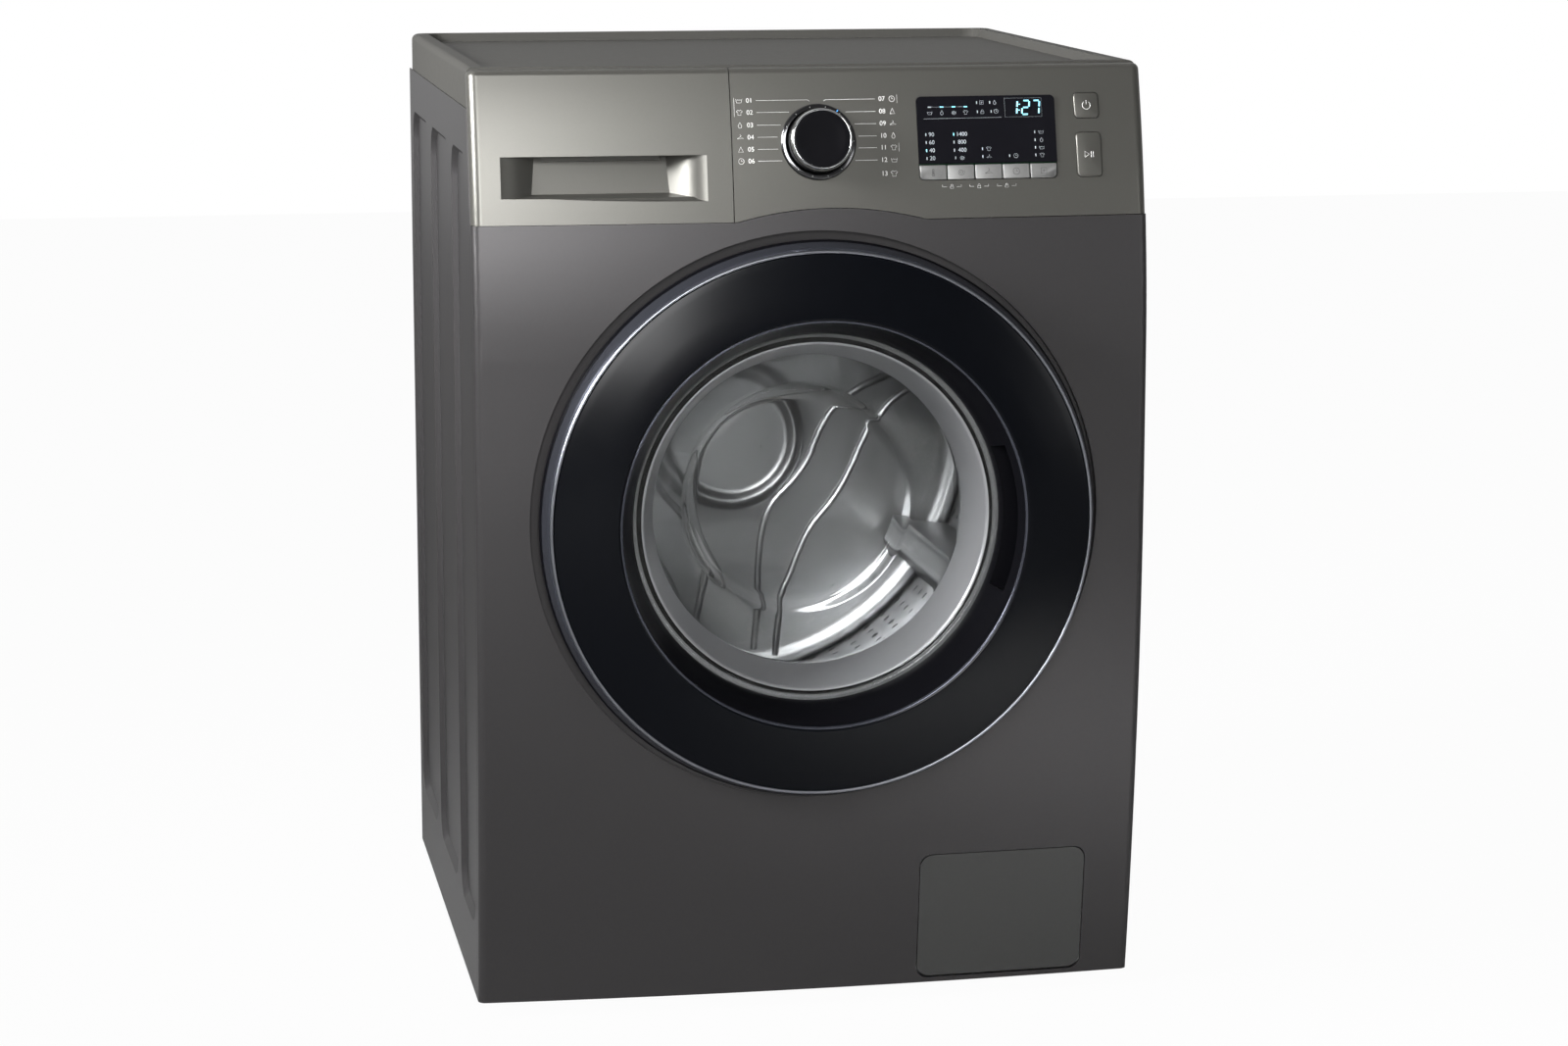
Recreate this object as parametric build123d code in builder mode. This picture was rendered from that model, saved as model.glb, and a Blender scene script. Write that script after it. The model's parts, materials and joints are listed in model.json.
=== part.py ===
"""Front load washing machine, one solid or one group of like solids per piece.

Frame: origin on the floor under the middle of the outer box, +Z up, the front faces -Y and
+X is to the right seen from the front. All sizes are millimetres.
"""
import os
from math import acos, asin, cos, degrees, hypot, radians, sin, sqrt

from build123d import *

os.makedirs("parts", exist_ok=True)

# Cabinet
width = 600.0
height = 850.0
foot_height = 15.0
corner_depth = 615.0
front_bow = 10.0
door_proud = 38.0
rear_reach = 17.0
sheet = 1.2
return_depth = 14.0
seam = 0.4
edge_radius = 7.0
skirt_low = 815.0
half_width = width / 2

# Bowed front: upright between two heights, curved back below and above
upright_low = 500.0
upright_high = 600.0
low_radius = 3100.0
high_radius = 823.0
bow_radius = half_width**2 / (2 * front_bow) + front_bow / 2

# Fascia
fascia_low = 717.0
fascia_high = 848.0
fascia_wall = 2.5
fascia_round, top_round = 9.0, 6.0
fascia_half = half_width - 0.5
fascia_split = -72.7
bump_left, bump_right, bump_rise = -69.7, 97.0, 11.0

# Depth stations, from the middle of the outer box
total_depth = corner_depth + front_bow + door_proud + rear_reach
y_back = total_depth / 2 - rear_reach
y_front = y_back - corner_depth - front_bow
y_bow = y_front + bow_radius
y_rear = y_back + rear_reach

# Door and drum share one axis
drum_z = 455.0
porthole_radius = 172.0
seat_radius = 254.0
seat_y = y_front + 15.0
hinge_x = -229.0
hinge_y = y_front - 13.0
pin_radius = 3.0

# Controls, as (x, z) on the bowed face
knob_x, knob_z = 3.5, 784.5
display_x, display_z = 155.0, 786.3
display_w, display_h = 125.5, 73.6
display_corner = 4.5
option_count = 5
option_strip = 14.2
power_x, power_z, power_size = 246.7, 812.3, 22.6
start_x, start_z = 247.5, 769.9
start_w, start_h = 22.8, 39.2

# Filter bay
flap_left, flap_right = 99.0, 253.0
flap_low, flap_high = 21.5, 139.0
flap_corner = 12.0
flap_pin_z, flap_pin_depth = 24.0, 2.4
flap_pin_radius, flap_pin_reach = 2.1, 55.0
filter_x, filter_z = 172.0, 76.0

# Drive
motor_x, motor_z = 110.0, 125.0
drum_pulley_radius = 140.0
motor_pulley_radius = 12.0
belt_gap, belt_thick = 0.4, 3.0

drum_plane = Plane(origin=(0, 0, drum_z))
drum_axis = Axis((0, 0, drum_z), (0, 1, 0))
bow_axis = Axis((0, y_bow, 0), (0, 0, 1))


def setback(z):
    """How far the bowed front stands behind its belly at height z."""
    if z < upright_low:
        return low_radius - sqrt(low_radius**2 - (upright_low - z) ** 2)
    if z > upright_high:
        return high_radius - sqrt(high_radius**2 - (z - upright_high) ** 2)
    return 0.0


def lean(z):
    """Sine of the angle by which the front looks up (positive) or down at height z."""
    if z < upright_low:
        return -(upright_low - z) / low_radius
    if z > upright_high:
        return (z - upright_high) / high_radius
    return 0.0


def face_y(x, z, inset=0.0):
    """Y of the bowed front at (x, z), pushed back by inset."""
    return y_bow - sqrt((bow_radius - setback(z) - inset) ** 2 - x**2)


def face_plane(x, z, proud=0.0):
    """Plane on the bowed front at (x, z), looking outwards."""
    reach = bow_radius - setback(z)
    turn_x, turn_y = x / reach, -sqrt(reach**2 - x**2) / reach
    rise = lean(z)
    level = sqrt(1 - rise**2)
    normal = Vector(turn_x * level, turn_y * level, rise)
    origin = Vector(x, face_y(x, z), z) + normal * proud
    return Plane(origin=origin, x_dir=(-turn_y, turn_x, 0), z_dir=normal)


def bow_point(z, inset):
    """Point of the front's upright profile, as (radius from the bow axis, z)."""
    if z < upright_low:
        centre, radius = bow_radius - low_radius, low_radius - inset
        return centre + sqrt(radius**2 - (upright_low - z) ** 2), z
    if z > upright_high:
        centre, radius = bow_radius - high_radius, high_radius - inset
        return centre + sqrt(radius**2 - (z - upright_high) ** 2), z
    return bow_radius - inset, z


def bowed_block(x_low, x_high, z_low, z_high, inset=0.0, rounding=0.0, top_rounding=0.0):
    """Solid behind the bowed front, pushed in by inset, with rounded outer upright and top edges."""
    spread = asin((half_width + 5) / (bow_radius - 60))
    start = Plane(
        origin=(0, y_bow, 0),
        x_dir=(-sin(spread), -cos(spread), 0),
        z_dir=(-cos(spread), sin(spread), 0),
    )
    back_radius = bow_radius - 70
    stops = [z_low] + [z for z in (upright_low, upright_high) if z_low < z < z_high] + [z_high]
    with BuildPart() as block:
        with BuildSketch(start) as profile:
            with BuildLine():
                for low, high in zip(stops, stops[1:]):
                    ends = bow_point(low, inset), bow_point(high, inset)
                    if low >= upright_low and high <= upright_high:
                        Line(*ends)
                    else:
                        ThreePointArc(ends[0], bow_point((low + high) / 2, inset), ends[1])
                Polyline(bow_point(z_high, inset), (back_radius, z_high), (back_radius, z_low),
                         bow_point(z_low, inset))
            make_face()
        revolve(profile.sketch, axis=bow_axis, revolution_arc=2 * degrees(spread))
        with Locations(((x_low + x_high) / 2, y_front + 40, (z_low + z_high) / 2)):
            Box(x_high - x_low, 120, z_high - z_low, mode=Mode.INTERSECT)
        if rounding:
            outer = [
                edge
                for edge in block.edges()
                if abs(abs(edge.center().X) - half_width) < 6
                and edge.bounding_box().size.Z > 20
                and edge.center().Y < face_y(half_width, edge.center().Z, inset) + 8
            ]
            fillet(outer, rounding)
        if top_rounding:
            top = block.edges().group_by(Axis.Z)[-1]
            shown = [edge for edge in top if abs(edge.center().X) > half_width - 8
                     or edge.center().Y < face_y(edge.center().X, z_high, inset) + 8]
            fillet(shown, top_rounding)
    return block.part


def turn(points, mode=Mode.ADD):
    """Add or cut a ring about the drum axis from its (radius, y) outline."""
    with BuildSketch(drum_plane) as outline:
        with BuildLine():
            Polyline(*points, close=True)
        make_face()
    revolve(outline.sketch, axis=drum_axis, mode=mode)


def block(x_span, y_span, z_span, mode=Mode.ADD):
    """Add or cut a box given by its limits along each axis."""
    spans = (x_span, y_span, z_span)
    with Locations(tuple(sum(span) / 2 for span in spans)):
        Box(*(span[1] - span[0] for span in spans), mode=mode)


def rod(plane, radius, length, mode=Mode.ADD):
    """Add or cut a round bar that starts on a plane and runs along its normal."""
    with BuildSketch(plane) as section:
        Circle(radius)
    extrude(section.sketch, amount=length, mode=mode)


def along_y(x, y, z):
    """Plane at a point, looking to the back."""
    return Plane(origin=(x, y, z), x_dir=(1, 0, 0), z_dir=(0, 1, 0))


def across_drum(y, angle):
    """Plane across the drum axis at depth y, turned by an angle in degrees; its Y runs outwards."""
    turned = radians(angle)
    return Plane(origin=(0, y, drum_z), x_dir=(cos(turned), 0, sin(turned)), z_dir=(0, 1, 0))


def upright(x, y, z):
    """Plane at a point, looking up."""
    return Plane(origin=(x, y, z))


def keep(piece, name):
    """Label a finished piece and write its file."""
    piece.part.label = name
    export_step(piece.part, f"parts/{name}.step")


# Cabinet: base, feet and sides
base_low, base_high = foot_height, foot_height + 15.0
base_y = (-232.0, y_back - 2.0)
base_sheet = 1.5
foot_spots = {
    "front_left": (-248.0, -140.0),
    "front_right": (248.0, -140.0),
    "rear_left": (-248.0, 270.0),
    "rear_right": (248.0, 270.0),
}
stud_radius, stud_gap = 5.0, 0.4
pad_radius, pad_height = 21.0, 9.0

with BuildPart() as base_pan:
    block((-296, 296), base_y, (base_low, base_high))
    block(
        (-296 + base_sheet, 296 - base_sheet),
        (base_y[0] + base_sheet, base_y[1] - base_sheet),
        (base_low + base_sheet, base_high + 1),
        mode=Mode.SUBTRACT,
    )
    block((flap_left - 8, flap_right + 8), (base_y[0] - 22, base_y[0] + 1),
          (base_low, base_low + base_sheet))
    for spot_x, spot_y in foot_spots.values():
        rod(upright(spot_x, spot_y, base_low - 1), stud_radius + stud_gap, 5, mode=Mode.SUBTRACT)
keep(base_pan, "base_pan")

for spot, (spot_x, spot_y) in foot_spots.items():
    with BuildPart() as foot:
        rod(upright(spot_x, spot_y, 0), pad_radius, pad_height)
        chamfer(foot.edges().group_by(Axis.Z)[-1], 3)
        rod(upright(spot_x, spot_y, pad_height), stud_radius, 36)
    keep(foot, f"foot_{spot}")

with BuildPart() as foot_lock_nuts:
    for spot_x, spot_y in foot_spots.values():
        with BuildSketch(upright(spot_x, spot_y, base_low + base_sheet)) as nut:
            RegularPolygon(9.8, 6)
            Circle(stud_radius + stud_gap, mode=Mode.SUBTRACT)
        extrude(nut.sketch, amount=8)
keep(foot_lock_nuts, "foot_lock_nuts")

pressing_depth = 5.0
pressing_wall = 6.0
pressing_spans = ((-235.0, -105.0), (-77.0, 98.0), (125.0, 295.0))
pressing_low, pressing_high = 78.0, 776.0
pressing_corner = 28.0


def side_panel(side):
    """Flat side sheet with three tall pressed-in panels; side is -1 for left, 1 for right."""
    reach = return_depth + 3 * seam
    stops = (foot_height, upright_low, upright_high, skirt_low)
    outer = Plane(origin=(side * half_width, 0, 0), x_dir=(0, side, 0), z_dir=(side, 0, 0))

    def edge_point(z):
        return side * face_y(half_width, z, reach), z

    with BuildPart() as panel:
        with BuildSketch(outer) as outline:
            with BuildLine():
                low_middle = edge_point((stops[0] + stops[1]) / 2)
                high_middle = edge_point((stops[2] + stops[3]) / 2)
                ThreePointArc(edge_point(stops[0]), low_middle, edge_point(stops[1]))
                Line(edge_point(stops[1]), edge_point(stops[2]))
                ThreePointArc(edge_point(stops[2]), high_middle, edge_point(stops[3]))
                Polyline(edge_point(stops[3]), (side * y_back, skirt_low), (side * y_back, foot_height),
                         edge_point(foot_height))
            make_face()
        extrude(outline.sketch, amount=-sheet)
        for y_low, y_high in pressing_spans:
            middle = side * (y_low + y_high) / 2, (pressing_low + pressing_high) / 2
            size = y_high - y_low, pressing_high - pressing_low
            with BuildSketch(outer) as dish:
                with Locations(middle):
                    RectangleRounded(*size, pressing_corner)
            extrude(dish.sketch, amount=-pressing_depth - sheet)
        for y_low, y_high in pressing_spans:
            middle = side * (y_low + y_high) / 2, (pressing_low + pressing_high) / 2
            size = y_high - y_low - 2 * sheet, pressing_high - pressing_low - 2 * sheet
            with BuildSketch(outer) as mouth:
                with Locations(middle):
                    RectangleRounded(*size, pressing_corner - sheet)
            with BuildSketch(outer.offset(-pressing_depth)) as floor:
                with Locations(middle):
                    RectangleRounded(
                        *(v - 2 * pressing_wall for v in size), pressing_corner - pressing_wall
                    )
            loft([mouth.sketch.face(), floor.sketch.face()], mode=Mode.SUBTRACT)
    return panel


keep(side_panel(-1), "left_side_panel")
keep(side_panel(1), "right_side_panel")

# Front sheet: a bowed tray with the flat door seat, the porthole and the filter bay mouth
lip_depth = 15.0
hook_x, hook_slot = 206.0, (196.0, 217.0)
flap_gap = 0.7
flap_low_gap = 2.0


def bump_cut(lift, z_far):
    """Outline between the fascia's curved lower edge, raised by lift, and height z_far."""
    low = fascia_low - seam + lift
    middle = (bump_left + bump_right) / 2
    with BuildSketch(Plane.XZ) as outline:
        with BuildLine():
            Line((-half_width - 5, low), (bump_left, low))
            ThreePointArc((bump_left, low), (middle, low + bump_rise), (bump_right, low))
            Polyline((bump_right, low), (half_width + 5, low), (half_width + 5, z_far),
                     (-half_width - 5, z_far), (-half_width - 5, low))
        make_face()
    return outline.sketch


def flap_outline(grow, grow_low):
    """Rounded outline of the filter flap, seen from the front."""
    high, low = flap_high + grow, flap_low - grow_low
    with BuildSketch(Plane.XZ) as outline:
        with Locations(((flap_left + flap_right) / 2, (high + low) / 2)):
            RectangleRounded(flap_right - flap_left + 2 * grow, high - low, flap_corner - grow)
    return outline.sketch


front_top = fascia_low + bump_rise + 2
with BuildPart() as door_seat:
    turn([(porthole_radius, seat_y), (seat_radius, seat_y), (seat_radius, y_front - 5),
          (seat_radius + sheet, y_front - 5), (seat_radius + sheet, seat_y + sheet),
          (porthole_radius + 1.5, seat_y + sheet), (porthole_radius + 1.5, seat_y + lip_depth),
          (porthole_radius, seat_y + lip_depth)])
    add(bowed_block(-half_width, half_width, foot_height, front_top, 0.05), mode=Mode.INTERSECT)

with BuildPart() as front_panel:
    add(bowed_block(-half_width, half_width, foot_height, front_top, 0, edge_radius))
    add(bowed_block(sheet - half_width, half_width - sheet, foot_height - 1, front_top + 1, sheet,
                    edge_radius - sheet), mode=Mode.SUBTRACT)
    add(bowed_block(-half_width - 1, half_width + 1, foot_height - 1, front_top + 1, return_depth),
        mode=Mode.SUBTRACT)
    extrude(bump_cut(0, front_top + 5), amount=width, both=True, mode=Mode.SUBTRACT)
    turn([(0, y_front - 6), (seat_radius, y_front - 6), (seat_radius, seat_y), (0, seat_y)],
         mode=Mode.SUBTRACT)
    add(door_seat.part)
    block(hook_slot, (seat_y - 5, seat_y + 5), (drum_z - 16, drum_z + 16), mode=Mode.SUBTRACT)
    extrude(flap_outline(flap_gap, flap_low_gap), amount=half_width, mode=Mode.SUBTRACT)
keep(front_panel, "front_panel")

# Filter flap, hinged along its lower edge
flap_wall = 2.5
flap_middle = (flap_left + flap_right) / 2
flap_run = face_plane(flap_middle, flap_pin_z).x_dir
flap_pin = Vector(flap_middle, face_y(flap_middle, flap_pin_z) + flap_pin_depth, flap_pin_z)
with BuildPart() as filter_flap:
    add(bowed_block(flap_left - 5, flap_right + 5, flap_low - 5, flap_high + 5, 0))
    add(bowed_block(flap_left - 6, flap_right + 6, flap_low - 6, flap_high + 6, flap_wall),
        mode=Mode.SUBTRACT)
    extrude(flap_outline(0, 0), amount=half_width, mode=Mode.INTERSECT)
    for spot in (-flap_pin_reach, flap_pin_reach):
        pin_start = flap_pin + flap_run * (spot - 7)
        rod(Plane(origin=pin_start, z_dir=flap_run), flap_pin_radius, 14)
keep(filter_flap, "filter_flap")

# Back sheet with its fittings' holes, and the braces across the cabinet
inlet_x, inlet_z, inlet_radius = -190.0, 785.0, 13.2
outlet_x, outlet_z, outlet_radius = 255.0, 185.0, 10.5
gland_x, gland_z, gland_radius = -255.0, 110.0, 9.0
with BuildPart() as back_panel:
    block((-297, 297), (y_back - sheet, y_back), (base_high + 1, skirt_low - 1))
    rod(along_y(inlet_x, y_back - 5, inlet_z), inlet_radius + 3.3, 10, mode=Mode.SUBTRACT)
    rod(along_y(outlet_x, y_back - 5, outlet_z), outlet_radius + 0.8, 10, mode=Mode.SUBTRACT)
    rod(along_y(gland_x, y_back - 5, gland_z), gland_radius + 0.3, 10, mode=Mode.SUBTRACT)
keep(back_panel, "back_panel")

with BuildPart() as cabinet_braces:
    block((-297, 297), (y_back - 22, y_back - sheet - 0.2), (skirt_low - 14, skirt_low - 1))
    block((-297, 297), (y_front + 34, y_front + 62), (fascia_low, fascia_low + 9))
keep(cabinet_braces, "cabinet_braces")

screw_heights = (60.0, 250.0, 440.0, 630.0, 790.0)
with BuildPart() as cabinet_screws:
    for screw_z in screw_heights:
        for screw_x in (-286.0, 286.0):
            rod(along_y(screw_x, y_back, screw_z), 5.0, 3.0)
    chamfer(cabinet_screws.edges().group_by(Axis.Y)[-1], 1)
keep(cabinet_screws, "cabinet_screws")

# Worktop: a plastic frame with a skirt and raised rim, and the board sunk in it
worktop_half = half_width - 1.3
worktop_back = y_back - 1.5
rim_width, rim_drop = 15.0, 8.0
board_thick = 7.0


def worktop_outline(inset, front_z):
    """Plan of the worktop: front edge bowed as the fascia at height front_z, rounded rear corners."""
    half = worktop_half - inset
    back = worktop_back - inset
    front_inset = return_depth + seam + inset
    corner = half, face_y(half, front_z, front_inset)
    with BuildSketch() as outline:
        with BuildLine():
            ThreePointArc((-corner[0], corner[1]), (0, face_y(0, front_z, front_inset)), corner)
            Polyline(corner, (half, back), (-half, back), (-corner[0], corner[1]))
        make_face()
        fillet(outline.vertices().group_by(Axis.Y)[-1], 16)
    return outline.sketch


with BuildPart() as worktop_frame:
    extrude(Plane.XY.offset(skirt_low) * worktop_outline(0, skirt_low), amount=height - skirt_low)
    top_edges = worktop_frame.edges().group_by(Axis.Z)[-1]
    fillet(top_edges.sort_by(Axis.Y)[1:], top_round)
    extrude(Plane.XY.offset(skirt_low - 1) * worktop_outline(2.5, height), amount=16, mode=Mode.SUBTRACT)
    board_hole = Plane.XY.offset(skirt_low) * worktop_outline(rim_width + 6, height)
    extrude(board_hole, amount=60, mode=Mode.SUBTRACT)
    with BuildSketch(Plane.XY.offset(height - rim_drop)) as sunk:
        add(worktop_outline(rim_width + 4, height))
    with BuildSketch(Plane.XY.offset(height + 1)) as rim:
        add(worktop_outline(rim_width, height))
    loft([sunk.sketch.face(), rim.sketch.face()], mode=Mode.SUBTRACT)
    add(bowed_block(-half_width, half_width, skirt_low - 2, height + 2, -2)
        - bowed_block(-half_width - 1, half_width + 1, skirt_low - 3, height + 3, return_depth + seam),
        mode=Mode.SUBTRACT)
keep(worktop_frame, "worktop_frame")

with BuildPart() as worktop_board:
    extrude(Plane.XY.offset(height - rim_drop - board_thick) * worktop_outline(rim_width + 6.2, height),
            amount=board_thick)
keep(worktop_board, "worktop_board")

# Fascia right: control panel with the knob, display and key openings
knob_ring_radius, knob_cap_radius = 33.5, 25.0
key_gap = 0.4


def fascia_tray(x_low, x_high):
    """Bowed plastic tray of the fascia between two x limits."""
    left_in = x_low + fascia_wall
    right_in = x_high - fascia_wall
    tray = bowed_block(x_low, x_high, fascia_low, fascia_high, 0, fascia_round, top_round)
    low_in, high_in = fascia_low + fascia_wall, fascia_high - fascia_wall
    tray -= bowed_block(left_in, right_in, low_in, high_in, fascia_wall, fascia_round - fascia_wall)
    tray -= bowed_block(x_low - 1, x_high + 1, fascia_low - 1, fascia_high + 1, return_depth)
    return tray


def option_plane(index):
    """Plane on the middle of one option key, counted from the left."""
    pitch = display_w / option_count
    return face_plane(
        display_x + (index - (option_count - 1) / 2) * pitch,
        display_z - display_h / 2 + option_strip / 2,
    )


def key_sketch(plane, key_w, key_h, corner):
    """Rounded key outline on a plane."""
    with BuildSketch(plane) as outline:
        RectangleRounded(key_w, key_h, corner)
    return outline.sketch


option_w, option_h = display_w / option_count - 1.2, option_strip - 1.2
power_plane = face_plane(power_x, power_z)
start_plane = face_plane(start_x, start_z)
knob_plane = face_plane(knob_x, knob_z)
display_plane = face_plane(display_x, display_z)

with BuildPart() as control_panel:
    add(fascia_tray(fascia_split + seam, fascia_half))
    extrude(bump_cut(seam + 0.2, fascia_low - 40), amount=width, both=True, mode=Mode.SUBTRACT)
    rod(knob_plane.offset(-10), 9, 20, mode=Mode.SUBTRACT)
    extrude(key_sketch(display_plane.offset(-20), display_w + 0.4, display_h + 0.4, display_corner),
            amount=40, mode=Mode.SUBTRACT)
    extrude(key_sketch(power_plane.offset(-10), power_size + 2 * key_gap, power_size + 2 * key_gap, 4),
            amount=20, mode=Mode.SUBTRACT)
    extrude(key_sketch(start_plane.offset(-10), start_w + 2 * key_gap, start_h + 2 * key_gap, 4),
            amount=20, mode=Mode.SUBTRACT)
keep(control_panel, "control_panel")

with BuildPart() as display_window:
    extrude(key_sketch(display_plane.offset(-2.2), display_w, display_h, display_corner), amount=2.5)
    with BuildSketch(display_plane.offset(-3)) as key_row:
        with Locations((0, (option_strip - display_h) / 2)):
            Rectangle(display_w + 1, option_strip + 0.4)
    extrude(key_row.sketch, amount=4, mode=Mode.SUBTRACT)
keep(display_window, "display_window")

with BuildPart() as knob_bezel:
    with BuildSketch(knob_plane.offset(0.2)) as bezel:
        Circle(knob_ring_radius)
        Circle(9, mode=Mode.SUBTRACT)
    extrude(bezel.sketch, amount=3.3)
    chamfer(knob_bezel.edges().sort_by(Axis.Y)[:1], 1.5)
keep(knob_bezel, "knob_bezel")

with BuildPart() as program_knob:
    rod(knob_plane.offset(4.0), knob_cap_radius + 3, 12)
    rod(knob_plane.offset(16.0), knob_cap_radius, 4)
    rod(knob_plane.offset(-16), 3.0, 21)
keep(program_knob, "program_knob")

with BuildPart() as power_button:
    extrude(key_sketch(power_plane.offset(-3), power_size, power_size, 3.6), amount=4.0)
keep(power_button, "power_button")

with BuildPart() as start_button:
    extrude(key_sketch(start_plane.offset(-3), start_w, start_h, 3.6), amount=4.0)
keep(start_button, "start_button")

for index in range(option_count):
    with BuildPart() as option_button:
        extrude(key_sketch(option_plane(index).offset(-3), option_w, option_h, 1.0), amount=4.0)
        extrude(key_sketch(display_plane.offset(-10), display_w - 0.8, display_h - 0.8, display_corner),
                amount=20, mode=Mode.INTERSECT)
    keep(option_button, f"option_button_{index + 1}")

# Boards behind the fascia and the power board at the rear
with BuildPart() as control_board:
    extrude(key_sketch(display_plane.offset(-26), 190, 66, 3), amount=6)
    block((120, 262), (180, 298), (742, 796))
keep(control_board, "control_board")

# Fascia left: drawer front with its grip recess, tray and housing
grip_left, grip_right = -274.0, -95.0
grip_deep_left, grip_deep_right = -236.5, -133.5
grip_low, grip_high = 738.5, 775.0
grip_depth, grip_back = 25.0, 29.0
grip_lip = 13.0
drawer_y = face_y((grip_left + grip_right) / 2, (grip_low + grip_high) / 2)
tray_x, tray_z = (-284.0, -86.0), (736.0, 792.0)
tray_back = -24.0
tray_wall = 2.0
housing_gap = 1.5
housing_wall = 2.0

grip_root = grip_low - 20.0
grip_rise = lean((grip_low + grip_high) / 2)
root_y = face_y((grip_left + grip_right) / 2, grip_root)
with BuildPart() as grip_space:
    with BuildSketch(Plane.YZ.offset(grip_left)) as side_view:
        with BuildLine():
            Polyline(
                (drawer_y - 15, grip_low - 9), (drawer_y - 3, grip_low - 1.2), (drawer_y - 1, grip_low + 0.6),
                (drawer_y + grip_depth - 9, grip_low + 3), (drawer_y + grip_depth, grip_high),
                (drawer_y - 15, grip_high), close=True,
            )
        make_face()
        floor_back = (grip_left, drawer_y + grip_depth - 9, grip_low + 3)
        fillet(side_view.vertices().sort_by_distance(floor_back)[0], 7)
    extrude(side_view.sketch, amount=grip_right - grip_left)
    with BuildSketch(Plane.XY.offset(grip_root)) as plan:
        with BuildLine():
            left_face = face_y(grip_left, grip_root) - 0.2
            right_face = face_y(grip_right, grip_root) - 0.2
            Spline((grip_left, left_face), (grip_deep_left, root_y + grip_depth),
                   tangents=((1, 0.2), (1, 0.7)))
            Polyline((grip_deep_left, root_y + grip_depth), (grip_deep_left, root_y + grip_back + 12),
                     (grip_deep_right, root_y + grip_back + 12), (grip_deep_right, root_y + grip_depth))
            Spline((grip_deep_right, root_y + grip_depth), (grip_right, right_face),
                   tangents=((1, -0.7), (1, -0.2)))
            Polyline((grip_right, right_face), (grip_right, root_y - 20), (grip_left, root_y - 20),
                     (grip_left, left_face))
        make_face()
    extrude(plan.sketch, amount=90, dir=(0, grip_rise, sqrt(1 - grip_rise**2)), mode=Mode.INTERSECT)
    block((grip_deep_left, grip_deep_right), (drawer_y + grip_lip, drawer_y + grip_back),
          (grip_high - 6, grip_high + 8))

with BuildPart() as grip_block:
    add(bowed_block(grip_left - 3, grip_right + 3, grip_low - 4, grip_high + 11, fascia_wall / 2))
    block((grip_left - 5, grip_right + 5), (y_front - 20, drawer_y + grip_back + 2.5),
          (grip_low - 9, grip_high + 20), mode=Mode.INTERSECT)

with BuildPart() as drawer_front:
    add(fascia_tray(-fascia_half, fascia_split - seam))
    add(grip_block.part)
    add(grip_space.part, mode=Mode.SUBTRACT)
keep(drawer_front, "drawer_front")

tray_front = drawer_y + grip_back + 3.0
divider_x = (-222.0, -150.0)
with BuildPart() as drawer_tray:
    block(tray_x, (tray_front, tray_back), tray_z)
    cells = (tray_x[0], *divider_x, tray_x[1])
    for cell_left, cell_right in zip(cells, cells[1:]):
        block((cell_left + tray_wall, cell_right - tray_wall),
              (tray_front + tray_wall, tray_back - tray_wall),
              (tray_z[0] + tray_wall, tray_z[1] + 1), mode=Mode.SUBTRACT)
keep(drawer_tray, "drawer_tray")

housing_x = tray_x[0] - housing_gap - housing_wall, tray_x[1] + housing_gap + housing_wall
housing_y = y_front + 68.0, tray_back + 10
housing_z = tray_z[0] - housing_gap - housing_wall, 826.0
with BuildPart() as drawer_housing:
    block(housing_x, housing_y, housing_z)
    block((housing_x[0] + housing_wall, housing_x[1] - housing_wall),
          (housing_y[0] - 1, housing_y[1] - housing_wall),
          (housing_z[0] + housing_wall, housing_z[1] - housing_wall), mode=Mode.SUBTRACT)
keep(drawer_housing, "drawer_housing")

# Door: gloss ring, funnel, glass bowl and inner frame, turned about the drum axis
ring_inner = 178.5
with BuildPart() as door_outer_ring:
    turn([(247.5, y_front - 3), (247.5, y_front - 8), (246, y_front - 11), (242.5, y_front - 25.5),
          (239.5, y_front - 29), (181, y_front - door_proud), (ring_inner, y_front - 36.5),
          (ring_inner, y_front - 33), (237.5, y_front - 25.8), (241.5, y_front - 11.5),
          (243.9, y_front - 6.2), (243.9, y_front - 3)])
keep(door_outer_ring, "door_outer_ring")

finger_z = (drum_z - 62.0, drum_z + 62.0)
with BuildPart() as door_funnel:
    turn([(178.3, y_front - 35), (164.2, y_front - 2), (164.2, y_front + 8), (167, y_front + 8),
          (167, y_front - 2), (178.3, y_front - 27)])
    block((140, 190), (y_front - 25, y_front - 5), finger_z, mode=Mode.SUBTRACT)
keep(door_funnel, "door_funnel")

with BuildPart() as door_glass_bowl:
    turn([(168, y_front + 8.3), (168, y_front + 13), (160, y_front + 13), (146, y_front + 52),
          (106, y_front + 108), (98, y_front + 112), (0, y_front + 116), (0, y_front + 111),
          (96, y_front + 107), (102, y_front + 103), (141, y_front + 49.5), (155, y_front + 9.5),
          (155, y_front + 8.3)])
keep(door_glass_bowl, "door_glass_bowl")

notch_x, notch_z = (-262.0, -177.0), (drum_z - 37.0, drum_z + 37.0)
with BuildPart() as door_inner_frame:
    turn([(160, y_front + 13.3), (160, y_front + 17), (171, y_front + 17), (171, y_front + 13.8),
          (236, y_front + 13.8), (236, y_front + 1), (243.3, y_front - 2.8), (243.3, y_front - 5.5),
          (233, y_front - 1.7), (233, y_front + 11), (168.3, y_front + 11), (168.3, y_front + 13.3)])
    block(notch_x, (y_front - 20, y_front + 20), notch_z, mode=Mode.SUBTRACT)
keep(door_inner_frame, "door_inner_frame")

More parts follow.
